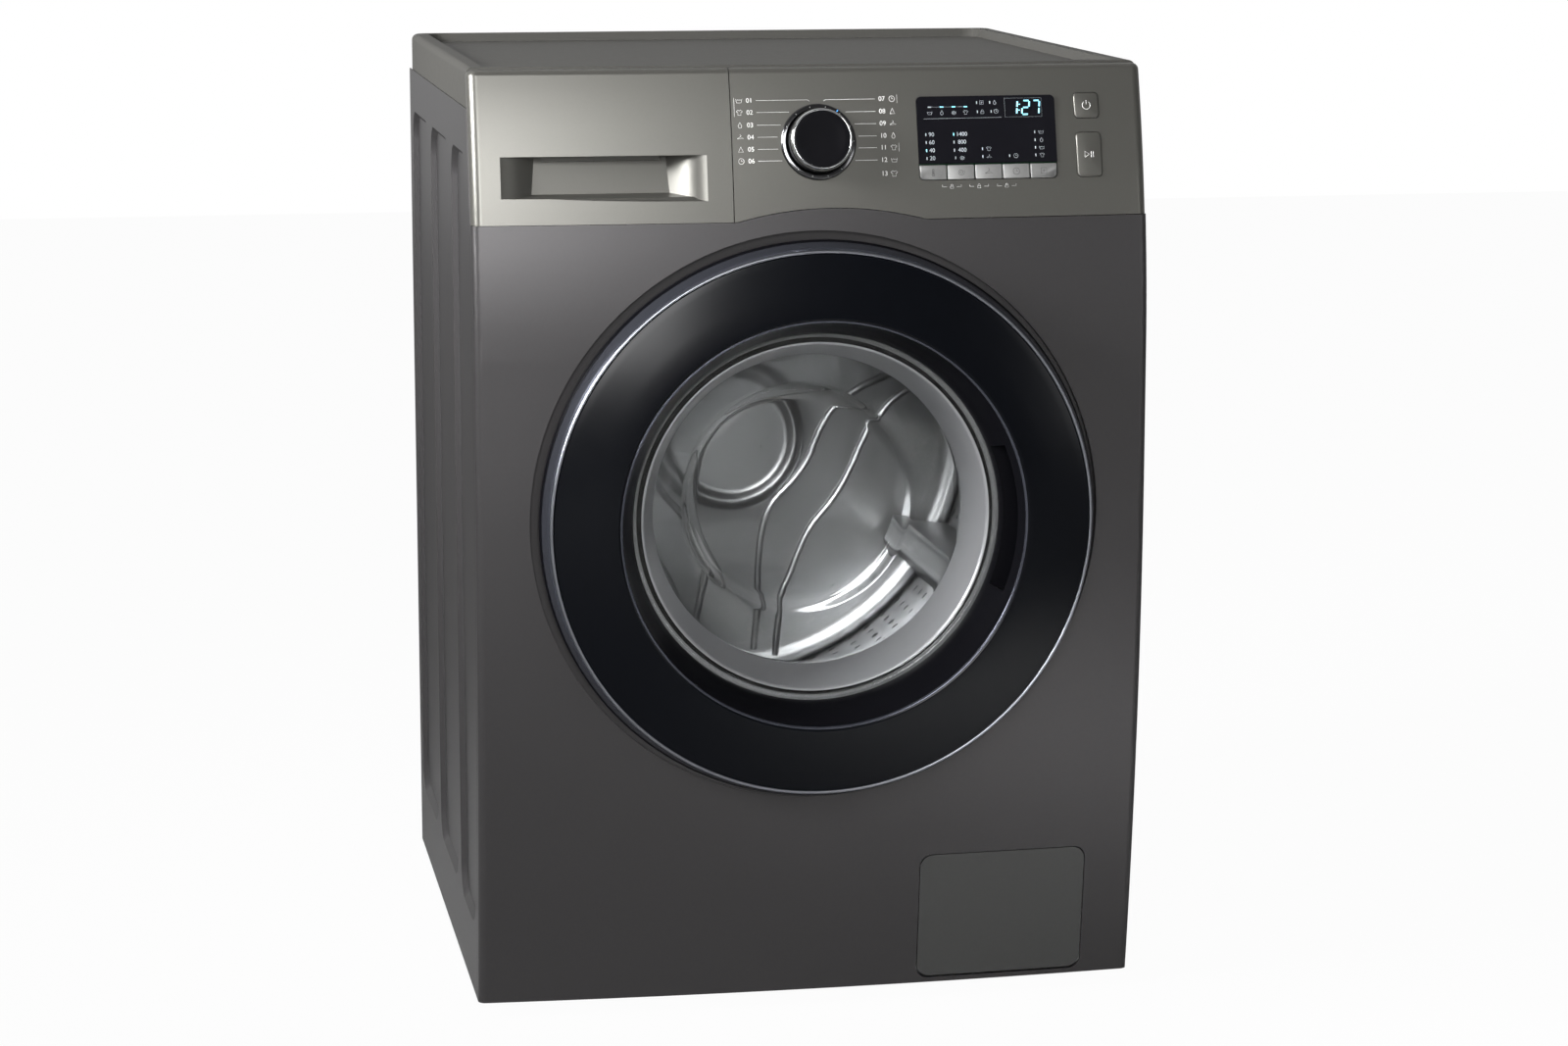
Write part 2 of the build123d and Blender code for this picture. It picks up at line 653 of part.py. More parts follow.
# Door hinge on the left: bracket with two eyes, pin, and the arm between the eyes
eye_radius = 6.5
eye_low, eye_high = (drum_z - 28, drum_z - 15), (drum_z + 15, drum_z + 28)
arm_span = (drum_z - 14.5, drum_z + 14.5)
neck = 3.0
neck_x = hinge_x + 30.0
with BuildPart() as door_hinge_bracket:
    for eye in (eye_low, eye_high):
        rod(upright(hinge_x, hinge_y, eye[0]), eye_radius, eye[1] - eye[0])
        with BuildSketch(Plane.XY.offset(eye[0])) as strap:
            with BuildLine():
                Polyline((hinge_x, hinge_y - neck / 2), (neck_x + neck, hinge_y - 7 - neck),
                         (neck_x + neck, seat_y - 0.1), (neck_x, seat_y - 0.1), (neck_x, hinge_y - 7),
                         (hinge_x, hinge_y + neck / 2), close=True)
            make_face()
        extrude(strap.sketch, amount=eye[1] - eye[0])
    block((neck_x, neck_x + 19), (seat_y - 3.1, seat_y - 0.1), (eye_low[0], eye_high[1]))
    rod(upright(hinge_x, hinge_y, eye_low[0] - 1), pin_radius + 0.01, 100, mode=Mode.SUBTRACT)
keep(door_hinge_bracket, "door_hinge_bracket")

with BuildPart() as door_hinge_pin:
    rod(upright(hinge_x, hinge_y, eye_low[0] - 2), pin_radius, eye_high[1] - eye_low[0] + 4)
keep(door_hinge_pin, "door_hinge_pin")

with BuildPart() as door_hinge_arm:
    rod(upright(hinge_x, hinge_y, arm_span[0]), eye_radius, arm_span[1] - arm_span[0])
    block((hinge_x - 3, hinge_x + 3), (hinge_y - 11, hinge_y), arm_span)
    block((hinge_x - 3, hinge_x + 48), (hinge_y - 12, hinge_y - 9), arm_span)
    rod(upright(hinge_x, hinge_y, arm_span[0] - 1), pin_radius + 0.05, 60, mode=Mode.SUBTRACT)
keep(door_hinge_arm, "door_hinge_arm")

with BuildPart() as door_latch_hook:
    block((hook_x - 4, hook_x + 4), (y_front + 14, y_front + 40), (drum_z - 9, drum_z + 9))
    block((hook_x - 4, hook_x + 8), (y_front + 33, y_front + 40), (drum_z - 9, drum_z + 9))
keep(door_latch_hook, "door_latch_hook")

with BuildPart() as door_lock:
    block((hook_x - 14, hook_x + 42), (seat_y + sheet + 0.1, seat_y + 44), (drum_z - 32, drum_z + 32))
    block((hook_x - 10, hook_x + 16), (seat_y, seat_y + 36), (drum_z - 16, drum_z + 16),
          mode=Mode.SUBTRACT)
keep(door_lock, "door_lock")

# Wash unit: bellows, tub halves, weights and heater
with BuildPart() as door_seal:
    turn([(174, -285), (179.5, -285), (179.5, -263), (192, -259), (192, -239), (184, -235),
          (184, -207), (180, -207), (180, -238), (188, -242), (188, -256), (176, -260), (163, -262),
          (155, -265), (155, -268), (163, -268.5), (174, -270.5)])
keep(door_seal, "door_seal")

tub_split = 20.0
tub_in, tub_out, tub_flange = 258.0, 264.0, 272.0
tub_front_y, tub_rear_y = -205.0, 222.0
with BuildPart() as tub_front:
    turn([(176, tub_front_y - 11), (179.6, tub_front_y - 11), (179.6, tub_front_y),
          (tub_out, tub_front_y), (tub_out, tub_split - 6), (tub_flange, tub_split - 6),
          (tub_flange, tub_split), (tub_in, tub_split), (tub_in, tub_front_y + 6),
          (176, tub_front_y + 6)])
keep(tub_front, "tub_front")

heater_x, heater_z, heater_tube = 20.0, 183.0, 4.0
front_race, rear_race = 36.0, 31.0
shaft_front, shaft_rear = 15.0, 12.5
sump_y = 90.0
with BuildPart() as tub_rear:
    turn([(tub_in, tub_split + 0.1), (tub_flange, tub_split + 0.1), (tub_flange, tub_split + 6),
          (tub_out, tub_split + 6), (tub_out, tub_rear_y), (48, tub_rear_y), (48, 250),
          (rear_race, 250), (rear_race, 230), (26, 230), (26, 215), (front_race, 215),
          (front_race, 194), (46, 194), (46, tub_rear_y - 8), (tub_in, tub_rear_y - 8)])
    block((-45, 45), (40, tub_rear_y), (160, 204))
    block((-42, 42), (43, tub_rear_y - 8), (163, 225), mode=Mode.SUBTRACT)
    rod(upright(0, sump_y, 145), 18, 16)
    rod(upright(0, sump_y, 144), 15, 22, mode=Mode.SUBTRACT)
    for side in (-1, 1):
        heater_way = along_y(side * heater_x, tub_rear_y - 12, heater_z)
        rod(heater_way, heater_tube + 0.5, 20, mode=Mode.SUBTRACT)
keep(tub_rear, "tub_rear")

with BuildPart() as heater:
    with BuildLine(Plane.XY.offset(heater_z)) as loop:
        Line((-heater_x, tub_rear_y + 2), (-heater_x, 82))
        ThreePointArc((-heater_x, 82), (0, 82 - heater_x), (heater_x, 82))
        Line((heater_x, 82), (heater_x, tub_rear_y + 2))
    with BuildSketch(Plane(origin=(-heater_x, tub_rear_y + 2, heater_z), z_dir=(0, -1, 0))) as tube:
        Circle(heater_tube)
    sweep(tube.sketch, path=loop.wire())
    block((-35, 35), (tub_rear_y + 0.1, tub_rear_y + 6), (168, 198))
keep(heater, "heater")

with BuildPart() as counterweights:
    turn([(192.5, -272), (250, -272), (250, tub_front_y - 0.1), (192.5, tub_front_y - 0.1)])
    block((-260, 260), (-280, -200), (drum_z - 60, drum_z + 60), mode=Mode.SUBTRACT)
keep(counterweights, "counterweights")

# Drum: shell with its rolled mouth, three paddles, spider, shaft and pulley
drum_radius = 243.0
drum_back = 183.0
with BuildPart() as drum_shell:
    turn([(242, drum_back), (drum_radius, drum_back), (drum_radius, -184), (239, -189), (171, -194),
          (167, -192), (167, -186), (168.2, -186), (168.2, -191), (171, -192.8), (238.6, -187.9),
          (242, -183.5)])
keep(drum_shell, "drum_shell")

paddle_count = 3
paddle_base, paddle_height = 62.0, 50.0
with BuildPart() as drum_paddles:
    for turn_angle in (60 + step * 360 / paddle_count for step in range(paddle_count)):
        with BuildSketch(across_drum(-160, turn_angle)) as foot_section:
            with BuildLine():
                Polyline((-paddle_base / 2, 238), (-12, 238 - paddle_height), (12, 238 - paddle_height),
                         (paddle_base / 2, 238), close=True)
            make_face()
            fillet(foot_section.vertices().group_by(SortBy.DISTANCE)[0], 9)
        extrude(foot_section.sketch, amount=325)
keep(drum_paddles, "drum_paddles")

with BuildPart() as drum_spider:
    turn([(shaft_front + 0.02, drum_back + 0.1), (drum_radius, drum_back + 0.1),
          (drum_radius, drum_back + 2.6), (34, drum_back + 2.6), (34, drum_back + 9.5),
          (shaft_front + 0.02, drum_back + 9.5)])
    for turn_angle in (30, 150, 270):
        with BuildSketch(across_drum(drum_back + 2.6, turn_angle)) as spoke:
            with BuildLine():
                Polyline((-26, 28), (-14, 230), (14, 230), (26, 28), close=True)
            make_face()
        extrude(spoke.sketch, amount=6)
keep(drum_spider, "drum_spider")

with BuildPart() as drum_shaft:
    turn([(0, drum_back + 0.1), (shaft_front, drum_back + 0.1), (shaft_front, 230),
          (shaft_rear, 230.5), (shaft_rear, 292), (0, 292)])
keep(drum_shaft, "drum_shaft")

with BuildPart() as drum_bearings:
    turn([(shaft_front + 0.05, 195.5), (front_race - 0.05, 195.5), (front_race - 0.05, 214),
          (shaft_front + 0.05, 214)])
    turn([(shaft_rear + 0.05, 231.5), (rear_race - 0.05, 231.5), (rear_race - 0.05, 248),
          (shaft_rear + 0.05, 248)])
keep(drum_bearings, "drum_bearings")

pulley_low, pulley_high = 262.0, 284.0
with BuildPart() as drum_pulley:
    turn([(shaft_rear + 0.02, 256), (22, 256), (22, 268), (132, 268), (132, pulley_low),
          (drum_pulley_radius, pulley_low), (drum_pulley_radius, pulley_high), (132, pulley_high),
          (132, 273), (22, 273), (22, 288), (shaft_rear + 0.02, 288)])
    with BuildSketch(along_y(0, 260, drum_z)) as windows:
        with PolarLocations(78, 6):
            Circle(30)
    extrude(windows.sketch, amount=20, mode=Mode.SUBTRACT)
keep(drum_pulley, "drum_pulley")

# Drive: motor under the tub, its shaft and the belt
with BuildPart() as motor_body:
    rod(along_y(motor_x, 132, motor_z), 52, 116)
    for lug_y in (146, 216):
        block((motor_x - 24, motor_x + 24), (lug_y, lug_y + 18), (motor_z, 262))
    turn([(0, 100), (tub_out + 0.3, 100), (tub_out + 0.3, 260), (0, 260)], mode=Mode.SUBTRACT)
    rod(along_y(motor_x, 140, motor_z), 6.05, 120, mode=Mode.SUBTRACT)
keep(motor_body, "motor_body")

with BuildPart() as motor_shaft:
    rod(along_y(motor_x, 150, motor_z), 6.0, 140)
    rod(along_y(motor_x, pulley_low, motor_z), motor_pulley_radius, pulley_high - pulley_low)
keep(motor_shaft, "motor_shaft")


def belt_loop(extra):
    """Outline round both pulleys, extra millimetres outside their rims."""
    big, small = drum_pulley_radius + extra, motor_pulley_radius + extra
    gap_x, gap_z = motor_x, motor_z - drum_z
    reach = hypot(gap_x, gap_z)
    line_x, line_z = gap_x / reach, gap_z / reach
    swing = acos((big - small) / reach)

    def touch(centre_x, centre_z, radius, side):
        lean_x = cos(swing) * line_x - side * sin(swing) * line_z
        lean_z = cos(swing) * line_z + side * sin(swing) * line_x
        return centre_x + radius * lean_x, centre_z + radius * lean_z

    with BuildSketch(Plane(origin=(0, 266, drum_z), x_dir=(1, 0, 0), z_dir=(0, -1, 0))) as outline:
        with BuildLine():
            Line(touch(0, 0, big, 1), touch(gap_x, gap_z, small, 1))
            ThreePointArc(touch(gap_x, gap_z, small, 1), (gap_x + small * line_x, gap_z + small * line_z),
                          touch(gap_x, gap_z, small, -1))
            Line(touch(gap_x, gap_z, small, -1), touch(0, 0, big, -1))
            ThreePointArc(touch(0, 0, big, -1), (-big * line_x, -big * line_z), touch(0, 0, big, 1))
        make_face()
    return outline.sketch


with BuildPart() as drive_belt:
    extrude(belt_loop(belt_gap + belt_thick), amount=-14)
    extrude(belt_loop(belt_gap), amount=-14, mode=Mode.SUBTRACT)
keep(drive_belt, "drive_belt")

# Suspension: two springs above and two dampers below the tub
spring_x, spring_y = 222.0, 40.0
damper_x, damper_y = 185.0, -20.0
with BuildPart() as tub_suspension:
    for side in (-1, 1):
        rod(upright(side * damper_x, damper_y, base_low + base_sheet + 0.1), 16, 120)
        rod(upright(side * damper_x, damper_y, base_low + 120), 6, 140)
    turn([(0, -60), (tub_out + 0.3, -60), (tub_out + 0.3, 14), (0, 14)], mode=Mode.SUBTRACT)
    for side in (-1, 1):
        rod(upright(side * spring_x, spring_y, 640), 14, 150)
        rod(upright(side * spring_x, spring_y, 639), 9, 152, mode=Mode.SUBTRACT)
keep(tub_suspension, "tub_suspension")

# Water: inlet valve, hoses, drain pump with its filter, and the rear outlets
with BuildPart() as water_inlet_valve:
    block((inlet_x - 26, inlet_x + 26), (y_back - 60, y_back - sheet - 0.2), (inlet_z - 22, inlet_z + 14))
    rod(along_y(inlet_x, y_back - 20, inlet_z), inlet_radius, y_rear - y_back + 20)
    rod(along_y(inlet_x, y_rear - 14, inlet_z), 9, 20, mode=Mode.SUBTRACT)
keep(water_inlet_valve, "water_inlet_valve")

hose_x, hose_y = -150.0, -50.0
pump_mouth, pump_end = -250.0, -118.0
plug_radius = 30.0
with BuildPart() as drain_pump:
    rod(along_y(filter_x, pump_mouth, filter_z), 37, pump_end - pump_mouth)
    rod(along_y(filter_x, pump_end, filter_z), 29, 62)
    rod(along_y(filter_x, pump_mouth - 1, filter_z), plug_radius + 0.4, 90, mode=Mode.SUBTRACT)
    rod(Plane(origin=(filter_x - 34, -178, filter_z), z_dir=(-1, 0, 0)), 14, 22)
    rod(upright(filter_x, -150, filter_z + 34), 11, 24)
keep(drain_pump, "drain_pump")

with BuildPart() as filter_plug:
    rod(along_y(filter_x, pump_mouth - 6, filter_z), plug_radius - 1, 5)
    rod(along_y(filter_x, pump_mouth - 2, filter_z), plug_radius - 0.2, 60)
    rod(along_y(filter_x, pump_mouth + 6, filter_z), plug_radius - 4, 60, mode=Mode.SUBTRACT)
    block((filter_x - 24, filter_x + 24), (pump_mouth - 12, pump_mouth - 5), (filter_z - 5, filter_z + 5))
keep(filter_plug, "filter_plug")

sump_route = [(0, sump_y, 144.8), (0, sump_y, 70), (0, -178, filter_z), (filter_x - 56.2, -178, filter_z)]
drain_route = [(filter_x, -150, filter_z + 58.2), (filter_x, -150, outlet_z), (outlet_x, -70, outlet_z),
               (outlet_x, y_back - 24, outlet_z)]
with BuildPart() as inner_hoses:
    rod(along_y(inlet_x, housing_y[1] + 0.1, inlet_z - 4), 8, y_back - 60.2 - housing_y[1])
    rod(upright(hose_x, hose_y, 640), 17, housing_z[0] - 640 - 0.1)
    turn([(0, -100), (tub_out + 0.3, -100), (tub_out + 0.3, 14), (0, 14)], mode=Mode.SUBTRACT)
    for route, radius, bend in ((sump_route, 16.0, 45.0), (drain_route, 12.5, 34.0)):
        with BuildLine() as path:
            FilletPolyline(*route, radius=bend)
        with BuildSketch(Plane(origin=route[0], z_dir=path.wire() % 0)) as section:
            Circle(radius)
        sweep(section.sketch, path=path.wire())
keep(inner_hoses, "inner_hoses")

with BuildPart() as drain_outlet:
    rod(along_y(outlet_x, y_back - 23.8, outlet_z), outlet_radius, y_rear - y_back + 23.8)
    rod(along_y(outlet_x, y_back + 0.1, outlet_z), 18, 3)
    rod(along_y(outlet_x, y_back - 14, outlet_z), 7.5, 60, mode=Mode.SUBTRACT)
keep(drain_outlet, "drain_outlet")

with BuildPart() as cord_gland:
    rod(along_y(gland_x, y_back - 10, gland_z), gland_radius, 16)
    rod(along_y(gland_x, y_back + 0.1, gland_z), 14, 3)
    rod(along_y(gland_x, y_back - 12, gland_z), 4.5, 40, mode=Mode.SUBTRACT)
keep(cord_gland, "cord_gland")
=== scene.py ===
"""Looks of a front load washing machine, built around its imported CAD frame."""

import json
import logging
import math
from collections.abc import Callable, Iterable
from dataclasses import dataclass
from enum import Enum
from typing import ClassVar

import bpy
from mathutils import Matrix, Vector


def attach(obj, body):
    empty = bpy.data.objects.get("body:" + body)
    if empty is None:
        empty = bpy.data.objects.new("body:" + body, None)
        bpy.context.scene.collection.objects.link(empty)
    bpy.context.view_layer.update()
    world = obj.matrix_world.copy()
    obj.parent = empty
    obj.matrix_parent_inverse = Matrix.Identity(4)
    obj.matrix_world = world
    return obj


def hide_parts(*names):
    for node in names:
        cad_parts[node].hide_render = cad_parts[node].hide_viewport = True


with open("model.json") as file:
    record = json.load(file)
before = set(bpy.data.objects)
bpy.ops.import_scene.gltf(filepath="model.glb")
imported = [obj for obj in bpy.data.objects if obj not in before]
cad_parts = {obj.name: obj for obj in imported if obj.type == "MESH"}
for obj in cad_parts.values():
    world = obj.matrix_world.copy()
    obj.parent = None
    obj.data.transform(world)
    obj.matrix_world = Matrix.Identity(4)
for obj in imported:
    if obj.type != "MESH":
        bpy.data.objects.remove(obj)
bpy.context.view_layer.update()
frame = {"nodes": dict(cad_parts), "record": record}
LOG = logging.getLogger("washer")

Point = tuple[float, float, float]
Colour = tuple[float, float, float]
Outline = list[tuple[float, float]]

MM = 0.001
AXIS_Z = 455 * MM
FULL_TURN = 2 * math.pi


class Texture(Enum):
    """Named surface textures that a finish can have."""

    GRAIN = "moulded grain"
    FLAKE = "metallic lacquer"
    TURNED = "rings about the drum axis"
    SPANGLE = "zinc crystals"
    STONE = "cast stone"
    GLOSS = "polished face"


class NodeBoard:
    """A node tree with short calls to place nodes and wire them."""

    def __init__(self, tree: bpy.types.NodeTree) -> None:
        """Take the tree that the nodes go into.

        Args:
            tree: The material's, world's or group's node tree.
        """
        self.tree = tree

    def add(self, kind: str, **values: object) -> bpy.types.Node:
        """Place a node and set its sockets and properties.

        Args:
            kind: The node type's name.
            values: Properties of the node, or sockets by name with spaces as underscores.

        Returns:
            The new node.
        """
        node = self.tree.nodes.new(kind)
        for key, value in values.items():
            if hasattr(node, key):
                setattr(node, key, value)
            else:
                node.inputs[key.replace("_", " ")].default_value = value
        return node

    def wire(self, source: bpy.types.NodeSocket, target: bpy.types.NodeSocket) -> None:
        """Join one output to one input."""
        self.tree.links.new(source, target)

    def math(self, kind: str, first: object, second: object = 0.0) -> bpy.types.NodeSocket:
        """Place a math node.

        Args:
            kind: The operation.
            first: A socket or a number.
            second: A socket or a number.

        Returns:
            The node's output.
        """
        node = self.tree.nodes.new("ShaderNodeMath")
        node.operation = kind
        for slot, value in zip(node.inputs, (first, second)):
            if isinstance(value, bpy.types.NodeSocket):
                self.wire(value, slot)
            else:
                slot.default_value = value
        return node.outputs[0]


class TextureGroups:
    """Builds the shader node groups that the finishes share."""

    FINE_DETAIL = 5.0
    FINE_ROUGHNESS = 0.62
    BROAD_DETAIL = 3.0
    BROAD_SCALE = 0.12
    GLOSS_BROAD_SCALE = 0.02
    BROAD_SHARE = 0.5
    PIT_SCALE = 0.6
    PIT_DEPTH = 0.35
    ALONG_TURNING = 0.012

    @staticmethod
    def start(texture: Texture) -> tuple[bpy.types.NodeTree, NodeBoard, bpy.types.Node]:
        """Open a group with its common sockets.

        Args:
            texture: The texture that the group draws.

        Returns:
            The group's tree, its board and its input node.
        """
        tree = bpy.data.node_groups.new(texture.name.lower(), "ShaderNodeTree")
        tree.interface.new_socket("Vector", in_out="INPUT", socket_type="NodeSocketVector")
        tree.interface.new_socket("Scale", in_out="INPUT", socket_type="NodeSocketFloat")
        tree.interface.new_socket("Mask", in_out="OUTPUT", socket_type="NodeSocketFloat")
        tree.interface.new_socket("Height", in_out="OUTPUT", socket_type="NodeSocketFloat")
        board = NodeBoard(tree)
        return tree, board, board.add("NodeGroupInput")

    @classmethod
    def get(cls, texture: Texture) -> bpy.types.NodeTree:
        """Return the group of a texture, built on its first use.

        Args:
            texture: The texture wanted.

        Returns:
            The shader node group.
        """
        found = bpy.data.node_groups.get(texture.name.lower())
        if found:
            return found
        tree, board, source = cls.start(texture)
        vector, scale = source.outputs["Vector"], source.outputs["Scale"]
        if texture is Texture.TURNED:
            vector = cls.about_axis(board, vector)
        if texture in (Texture.SPANGLE, Texture.FLAKE):
            cells = board.add("ShaderNodeTexVoronoi")
            board.wire(vector, cells.inputs["Vector"])
            board.wire(scale, cells.inputs["Scale"])
            shade = board.add("ShaderNodeSeparateColor")
            board.wire(cells.outputs["Color"], shade.inputs[0])
            mask = shade.outputs[0]
        else:
            fine = board.add("ShaderNodeTexNoise", Detail=cls.FINE_DETAIL,
                             Roughness=cls.FINE_ROUGHNESS)
            board.wire(vector, fine.inputs["Vector"])
            board.wire(scale, fine.inputs["Scale"])
            mask = fine.outputs["Fac"]
        broad = board.add("ShaderNodeTexNoise", Detail=cls.BROAD_DETAIL)
        board.wire(vector, broad.inputs["Vector"])
        spread = cls.GLOSS_BROAD_SCALE if texture is Texture.GLOSS else cls.BROAD_SCALE
        board.wire(board.math("MULTIPLY", scale, spread), broad.inputs["Scale"])
        height = mask
        if texture is Texture.STONE:
            pits = board.add("ShaderNodeTexVoronoi")
            board.wire(vector, pits.inputs["Vector"])
            board.wire(board.math("MULTIPLY", scale, cls.PIT_SCALE), pits.inputs["Scale"])
            height = board.math("MINIMUM", pits.outputs["Distance"], cls.PIT_DEPTH)
        share = board.math("MULTIPLY", broad.outputs["Fac"], cls.BROAD_SHARE)
        rest = board.math("MULTIPLY", mask, 1 - cls.BROAD_SHARE)
        mixed = board.math("ADD", rest, share)
        sink = board.add("NodeGroupOutput")
        board.wire(mixed, sink.inputs["Mask"])
        board.wire(height, sink.inputs["Height"])
        return tree

    @classmethod
    def about_axis(cls, board: NodeBoard, vector: bpy.types.NodeSocket) -> bpy.types.NodeSocket:
        """Turn a place into radius and depth about the drum axis, for turned marks.

        Args:
            board: The group's board.
            vector: The place on the surface.

        Returns:
            A vector that changes quickly across the turned marks and slowly along them.
        """
        parts = board.add("ShaderNodeSeparateXYZ")
        board.wire(vector, parts.inputs[0])
        rise = board.math("SUBTRACT", parts.outputs["Z"], AXIS_Z)
        across = board.math("MULTIPLY", parts.outputs["X"], parts.outputs["X"])
        squared = board.math("ADD", across, board.math("MULTIPLY", rise, rise))
        radius = board.math("SQRT", squared)
        sweep = board.math("ARCTAN2", parts.outputs["X"], rise)
        joined = board.add("ShaderNodeCombineXYZ")
        board.wire(radius, joined.inputs["X"])
        board.wire(parts.outputs["Y"], joined.inputs["Y"])
        along = board.math("MULTIPLY", board.math("ABSOLUTE", sweep), cls.ALONG_TURNING)
        board.wire(along, joined.inputs["Z"])
        return joined.outputs[0]


@dataclass(frozen=True)
class Finish:
    """One real surface finish and the values of its material."""

    LEAST_ROUGHNESS: ClassVar[float] = 0.02

    name: str
    colour: Colour
    roughness: float
    texture: Texture = Texture.GRAIN
    scale: float = 900.0
    contrast: float = 0.10
    bump: float = 0.05
    bump_depth: float = 0.0004
    roughness_swing: float = 0.08
    metallic: float = 0.0
    specular: float = 0.5
    transmission: float = 0.0
    ior: float = 1.5
    glow: float = 0.0

    def material(self) -> bpy.types.Material:
        """Return the material of this finish, built on its first use."""
        found = bpy.data.materials.get(self.name)
        return found or self.build()

    def build(self) -> bpy.types.Material:
        """Build the node material.

        Returns:
            The new material.
        """
        material = bpy.data.materials.new(self.name)
        material.use_nodes = True
        board = NodeBoard(material.node_tree)
        shader = material.node_tree.nodes["Principled BSDF"]
        place = board.add("ShaderNodeTexCoord")
        texture = board.add("ShaderNodeGroup", node_tree=TextureGroups.get(self.texture))
        board.wire(place.outputs["Object"], texture.inputs["Vector"])
        texture.inputs["Scale"].default_value = self.scale
        self.colour_nodes(board, shader, texture.outputs["Mask"])
        swing = board.add("ShaderNodeMapRange")
        smoothest = max(self.LEAST_ROUGHNESS, self.roughness - self.roughness_swing)
        swing.inputs["To Min"].default_value = smoothest
        swing.inputs["To Max"].default_value = self.roughness + self.roughness_swing
        board.wire(texture.outputs["Mask"], swing.inputs["Value"])
        board.wire(swing.outputs[0], shader.inputs["Roughness"])
        bump = board.add("ShaderNodeBump", Strength=self.bump, Distance=self.bump_depth)
        board.wire(texture.outputs["Height"], bump.inputs["Height"])
        board.wire(bump.outputs[0], shader.inputs["Normal"])
        shader.inputs["Metallic"].default_value = self.metallic
        shader.inputs["Specular IOR Level"].default_value = self.specular
        shader.inputs["Transmission Weight"].default_value = self.transmission
        shader.inputs["IOR"].default_value = self.ior
        if self.glow:
            shader.inputs["Emission Strength"].default_value = self.glow
        if self.transmission:
            self.let_light_through(board, shader)
        return material

    @staticmethod
    def let_light_through(board: NodeBoard, shader: bpy.types.Node) -> None:
        """Let lamps shine through glass without casting its shadow.

        Args:
            board: The material's board.
            shader: The Principled shader.
        """
        clear = board.add("ShaderNodeBsdfTransparent")
        ray = board.add("ShaderNodeLightPath")
        mix = board.add("ShaderNodeMixShader")
        board.wire(ray.outputs["Is Shadow Ray"], mix.inputs[0])
        board.wire(shader.outputs[0], mix.inputs[1])
        board.wire(clear.outputs[0], mix.inputs[2])
        board.wire(mix.outputs[0], board.tree.nodes["Material Output"].inputs["Surface"])

    def colour_nodes(
        self, board: NodeBoard, shader: bpy.types.Node, mask: bpy.types.NodeSocket
    ) -> None:
        """Wire the base colour, darker and paler by the texture's mask.

        Args:
            board: The material's board.
            shader: The Principled shader.
            mask: The texture's mask.
        """
        mix = board.add("ShaderNodeMix", data_type="RGBA")
        dark = [c * (1 - self.contrast) for c in self.colour]
        pale = [min(1.0, c * (1 + self.contrast)) for c in self.colour]
        mix.inputs[6].default_value = (*dark, 1.0)
        mix.inputs[7].default_value = (*pale, 1.0)
        board.wire(mask, mix.inputs[0])
        board.wire(mix.outputs[2], shader.inputs["Base Color"])
        if self.glow:
            board.wire(mix.outputs[2], shader.inputs["Emission Color"])


